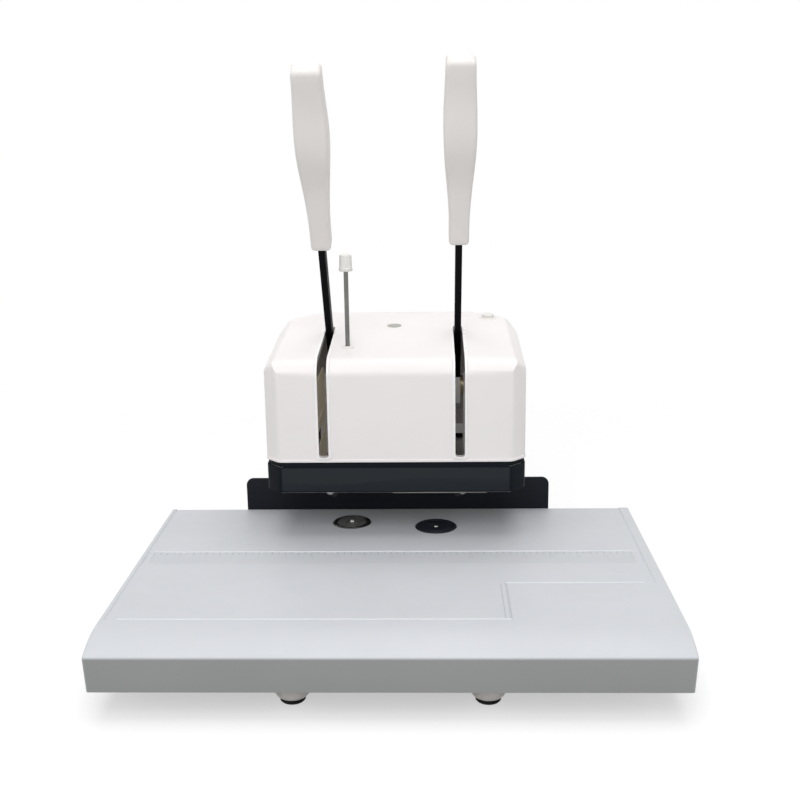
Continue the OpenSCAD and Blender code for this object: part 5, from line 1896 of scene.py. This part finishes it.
@dataclass
class RearPanel:
    """Column cover with the power inlet, the switch and its screws."""

    edge: float = 0.8
    edge_steps: int = 3
    flange_corner: float = 2.2
    flange_corner_steps: int = 5
    flange_edge: float = 0.5
    recess_corner: float = 1.2
    recess_reach: float = 5.0
    inlet_lip: float = 3.0
    inlet_wall: float = 2.0
    inlet_floor: float = 4.0
    pin_count: int = 3
    # Step from pin to pin as a share of the inlet's width
    pin_share: float = 0.2
    pin_half: float = 1.0
    pin_rise: float = 4.0
    pin_length: float = 10.0
    # Taper and height of a pin's nose
    pin_nose: Ring = (0.35, 0.5)
    switch_lip: float = 1.5
    switch_wall: float = 1.5
    rocker_radius: float = 4.1
    rocker_width: float = 15.2
    rocker_flat: float = 3.1
    rocker_edge: float = 0.35
    rocker_tip: float = 7.0
    rocker_sides: int = 48
    rocker_shading: float = 30.0
    mark_out: float = 1.35
    mark_half: float = 0.22
    mark_reach: float = 0.8
    mark_rise: float = 0.06
    mark_sunk: float = 0.05
    mark_inner: float = 0.5
    mark_outer: float = 0.85
    mark_sides: int = 32
    screw_in: float = 7.0
    screw: ScrewHead = ScrewHead(3.2, 1.6)

    def core(self, name: str, node: str, lip: float, rear: float) -> Workpiece:
        """The part of a fitting that sits in the cover, as a block.

        Args:
            name: Name of the block.
            node: The fitting's frame node.
            lip: How far its flange stands out from it.
            rear: Depth of the block's rear.

        Returns:
            The block.
        """
        low, high = node_box(node)
        return Workpiece.block(name, (low.x + lip, low.y, low.z + lip), (high.x - lip, rear, high.z - lip))

    def fitting(self, name: str, node: str, lip: float, wall: float, floor: float) -> Workpiece:
        """A flanged body with a recess, open to the back.

        Args:
            name: Name of the piece.
            node: The fitting's frame node.
            lip: How far its flange stands out from its body.
            wall: Wall of the body.
            floor: Thickness left behind the recess.

        Returns:
            The body.
        """
        low, high = node_box(node)
        rear = node_box("column_cover")[1].y
        work = Workpiece.slab(
            name, (low.x, rear, low.z), high, BACK, self.flange_corner, self.flange_corner_steps)
        work.soften(self.flange_edge, self.edge_steps)
        work.combine(self.core("body", node, lip, rear + CLEAR), "UNION")
        inset = lip + wall
        return work.cut(Workpiece.slab(
            "recess_cut", (low.x + inset, low.y + floor, low.z + inset),
            (high.x - inset, high.y + self.recess_reach, high.z - inset), BACK, self.recess_corner,
        ))

    def inlet(self) -> None:
        """Build the inlet and its pins."""
        low, high = node_box("power_inlet")
        body = self.fitting(
            "inlet_housing", "power_inlet", self.inlet_lip, self.inlet_wall, self.inlet_floor)
        body.smooth().seat(FITTING_BLACK, "fitting_black", "power_inlet")
        step = (high.x - low.x) * self.pin_share
        x, level = (low.x + high.x) / 2 - step, (low.z + high.z) / 2 + self.pin_rise
        root = low.y + self.inlet_floor
        pin = Workpiece.block(
            "inlet_pins", (x - self.pin_half, root, level - self.pin_half),
            (x + self.pin_half, root + self.pin_length, level + self.pin_half),
        )
        pin.pick(Pick.FACE, facing(BACK)).inset(*self.pin_nose)
        pin.close().repeat(self.pin_count, (step, 0, 0))
        pin.seat(BRIGHT_STEEL, "fitting_black", "power_inlet")

    def marks(self) -> Iterator[Workpiece]:
        """The rocker's two marks, drawn with its axis through the origin."""
        bar = Workpiece.block(
            "rocker_mark_on",
            (-self.mark_half, self.rocker_flat - self.mark_sunk, self.mark_out - self.mark_reach),
            (self.mark_half, self.rocker_flat + self.mark_rise, self.mark_out + self.mark_reach),
        )
        yield bar.pick(Pick.FACE, facing(BACK)).inset(self.mark_rise).close()
        ring = Workpiece.turned("rocker_mark_off", (0, 0, 0), [
            (self.mark_inner, -self.mark_sunk), (self.mark_outer, -self.mark_sunk),
            (self.mark_outer, self.mark_rise), (self.mark_inner, self.mark_rise),
        ], self.mark_sides, bored=True)
        yield ring.turn_and_place((-QUARTER, 0, 0), (0, self.rocker_flat, -self.mark_out))

    def switch(self) -> None:
        """Build the bezel, the rocker and its two marks."""
        low, high = node_box("switch_bezel")
        bezel = self.fitting(
            "switch_frame", "switch_bezel", self.switch_lip, self.switch_wall, self.switch_wall)
        bezel.smooth().seat(FITTING_BLACK, "fitting_black", "switch_bezel")
        axis = ((low.x + high.x) / 2, node_box("column_cover")[1].y, (low.z + high.z) / 2)
        tip = (self.rocker_tip, 0, 0)
        rocker = Workpiece.bar(
            "rocker_cap", (0, 0, 0), self.rocker_radius, self.rocker_width, Axis.X, self.rocker_sides)
        rocker.slice((0, self.rocker_flat, 0), BACK, trim=True)
        rocker.close().soften(self.rocker_edge, self.edge_steps)
        rocker.turn_and_place(tip, axis).smooth(self.rocker_shading)
        rocker.seat(ROCKER_BLACK, "rocker_black", "power_rocker", body="power_rocker")
        for mark in self.marks():
            mark.turn_and_place(tip, axis).seat(MARK_WHITE, "rocker_black", body="power_rocker")

    def build(self) -> None:
        """Build the cover, its screws, the inlet and the switch."""
        low, high = node_box("column_cover")
        cover = Workpiece.block("rear_cover", low, high).soften(self.edge, self.edge_steps)
        for node, lip in (("power_inlet", self.inlet_lip), ("switch_bezel", self.switch_lip)):
            cover.cut(self.core("opening_cut", node, lip, node_box(node)[1].y))
        cover.smooth().seat(COAT_BLACK, "structure_black", "column_cover")
        seats = [
            ((-QUARTER, 0, 0), (x, high.y, z))
            for x in (low.x + self.screw_in, high.x - self.screw_in)
            for z in (low.z + self.screw_in, high.z - self.screw_in)
        ]
        self.screw.seat("cover_screw", seats, SCREW_STEEL)
        self.inlet()
        self.switch()


# Stage


@dataclass(frozen=True)
class Lamp:
    """A square soft lamp: place, aim and side in metres, power in watts."""

    name: str
    place: Triple
    aim: Triple
    size: float
    power: float

    def build(self) -> None:
        """Add the lamp to the scene."""
        data = bpy.data.lights.new(self.name, "AREA")
        data.size = self.size
        data.energy = self.power
        lamp = bpy.data.objects.new(self.name, data)
        lamp.location = self.place
        aim = Vector(self.aim) - Vector(self.place)
        lamp.rotation_euler = aim.to_track_quat("-Z", "Y").to_euler()
        bpy.context.scene.collection.objects.link(lamp)


@dataclass
class Studio:
    """Floor, lamps, surroundings and camera."""

    # Size of the floor, and where it starts and ends to fade to white, in metres
    floor_size: float = 12.0
    near: float = 0.34
    far: float = 0.8
    # Tone and glow of the floor as it is seen, and its tone as a source of bounced light
    floor_tone: float = 0.48
    floor_glow: float = 0.5
    bounce_tone: float = 0.35
    # Strength of the white surroundings as a light
    ambient: float = 0.43
    # The photograph's camera: focal length and picture width in pixels, near limit in metres
    focal: float = 1101.84
    frame_width: float = 800.0
    sensor: float = 36.0
    clip_start: float = 0.05
    pitch: float = 14.033
    yaw: float = -1.739
    roll: float = -0.815
    eye: Triple = (28.86, -789.0, 365.3)
    lamps: tuple[Lamp, ...] = (
        Lamp("overhead", (0.0, 0.3, 3.6), (0.0, 0.0, 0.0), 3.3, 71.0),
        Lamp("front", (-0.05, -1.16, 1.05), (0.0, 0.0, 0.1), 1.0, 10.6),
        Lamp("left_fill", (-1.5, -0.5, 0.6), (0.0, 0.0, 0.15), 1.0, 3.0),
        Lamp("right_fill", (1.5, -0.5, 0.6), (0.0, 0.0, 0.15), 1.0, 3.0),
    )

    def camera(self) -> None:
        """Set the camera at the photograph's place and angle."""
        data = bpy.data.cameras.new("camera")
        data.sensor_width = self.sensor
        data.lens = self.focal * self.sensor / self.frame_width
        data.clip_start = self.clip_start
        pitch, yaw, roll = (math.radians(angle) for angle in (self.pitch, self.yaw, self.roll))
        ahead = Vector((
            math.sin(yaw) * math.cos(pitch), math.cos(yaw) * math.cos(pitch), -math.sin(pitch)))
        right = Vector((math.cos(yaw), -math.sin(yaw), 0))
        up = right.cross(ahead)
        level_right = math.cos(roll) * right + math.sin(roll) * up
        level_up = -math.sin(roll) * right + math.cos(roll) * up
        camera = bpy.data.objects.new("camera", data)
        turn = Matrix((level_right, level_up, -ahead)).transposed().to_4x4()
        camera.matrix_world = Matrix.Translation(metres(self.eye)) @ turn
        bpy.context.scene.collection.objects.link(camera)
        bpy.context.scene.camera = camera

    def world(self) -> None:
        """White surroundings for the camera and reflections, softer as a light."""
        world = bpy.data.worlds.new("surroundings")
        bpy.context.scene.world = world
        world.use_nodes = True
        wiring = Wiring(world.node_tree)
        path = wiring.add("LightPath", {}).outputs
        seen = wiring.largest(
            path["Is Camera Ray"], path["Is Glossy Ray"], path["Is Transmission Ray"])
        strength = wiring.add("MapRange", {"Value": seen, "To Min": self.ambient})
        background = wiring.nodes["Background"]
        wiring.feed(background, "Color", (1, 1, 1, 1))
        wiring.feed(background, "Strength", strength.outputs["Result"])

    def floor_material(self) -> bpy.types.Material:
        """Pale floor that keeps the machine's shadow and fades to white far off."""
        material = bpy.data.materials.new("floor_white")
        material.use_nodes = True
        wiring = Wiring(material.node_tree)
        wiring.nodes.clear()
        place = wiring.add("TexCoord", {}).outputs["Object"]
        away = wiring.add("VectorMath", {0: place}, operation="LENGTH").outputs["Value"]
        fade = wiring.add(
            "MapRange", {"Value": away, "From Min": self.near, "From Max": self.far},
            interpolation_type="SMOOTHSTEP",
        ).outputs["Result"]
        lit, dim = (
            wiring.add("BsdfDiffuse", {"Color": (tone, tone, tone, 1)}).outputs[0]
            for tone in (self.floor_tone, self.bounce_tone)
        )
        glow = wiring.add("Emission", {"Strength": self.floor_glow}).outputs[0]
        near = wiring.add("AddShader", {0: lit, 1: glow}).outputs[0]
        white = wiring.add("Emission", {}).outputs[0]
        seen = wiring.add("MixShader", {"Fac": fade, 1: near, 2: white}).outputs[0]
        path = wiring.add("LightPath", {}).outputs
        looked_at = wiring.largest(path["Is Camera Ray"], path["Is Glossy Ray"])
        mix = wiring.add("MixShader", {"Fac": looked_at, 1: dim, 2: seen}).outputs[0]
        wiring.add("OutputMaterial", {"Surface": mix})
        return material

    def floor(self) -> None:
        """Lay the floor."""
        Workpiece.clear_bench()
        bpy.ops.mesh.primitive_plane_add(size=self.floor_size, location=(0, 0, 0))
        floor = bpy.context.object
        floor.name = "floor"
        floor.data.materials.append(self.floor_material())

    def build(self) -> None:
        """Set up the stage."""
        bpy.context.scene.view_settings.view_transform = "Standard"
        self.camera()
        self.world()
        self.floor()
        for lamp in self.lamps:
            lamp.build()


def dress_carried() -> None:
    """Give every frame node that still shows its procedural finish."""
    for finish, names in CARRIED.items():
        for name in names:
            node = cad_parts[name]
            node.data.materials.clear()
            node.data.materials.append(PAINT.get(finish))
            LOG.info("%s: dressed as %s", name, finish.name)


def main() -> None:
    """Build the stage and every sub-assembly in order."""
    logging.basicConfig(level=logging.INFO, format="%(name)s: %(message)s")
    plan = HeadPlan()
    left_slot, right_slot = Hood.slots
    Studio().build()
    for assembly in (
        Bed(), Ruler(), Feet(), WorkDiscs(), Fence(), StopScrews(), Skirt(plan), SidePlates(),
        Hood(plan), HoodFittings(), HoodScrews(),
        Lever("left", left_slot, lean=30.0, plating=ZINC_KHAKI),
        Lever("right", right_slot, lean=28.0, plating=ZINC_GREY), Ejector(), RearPanel(),
    ):
        assembly.build()
        LOG.info("built: %s", type(assembly).__name__)
    dress_carried()
    Workpiece.clear_bench()


if __name__ == "__main__":
    main()
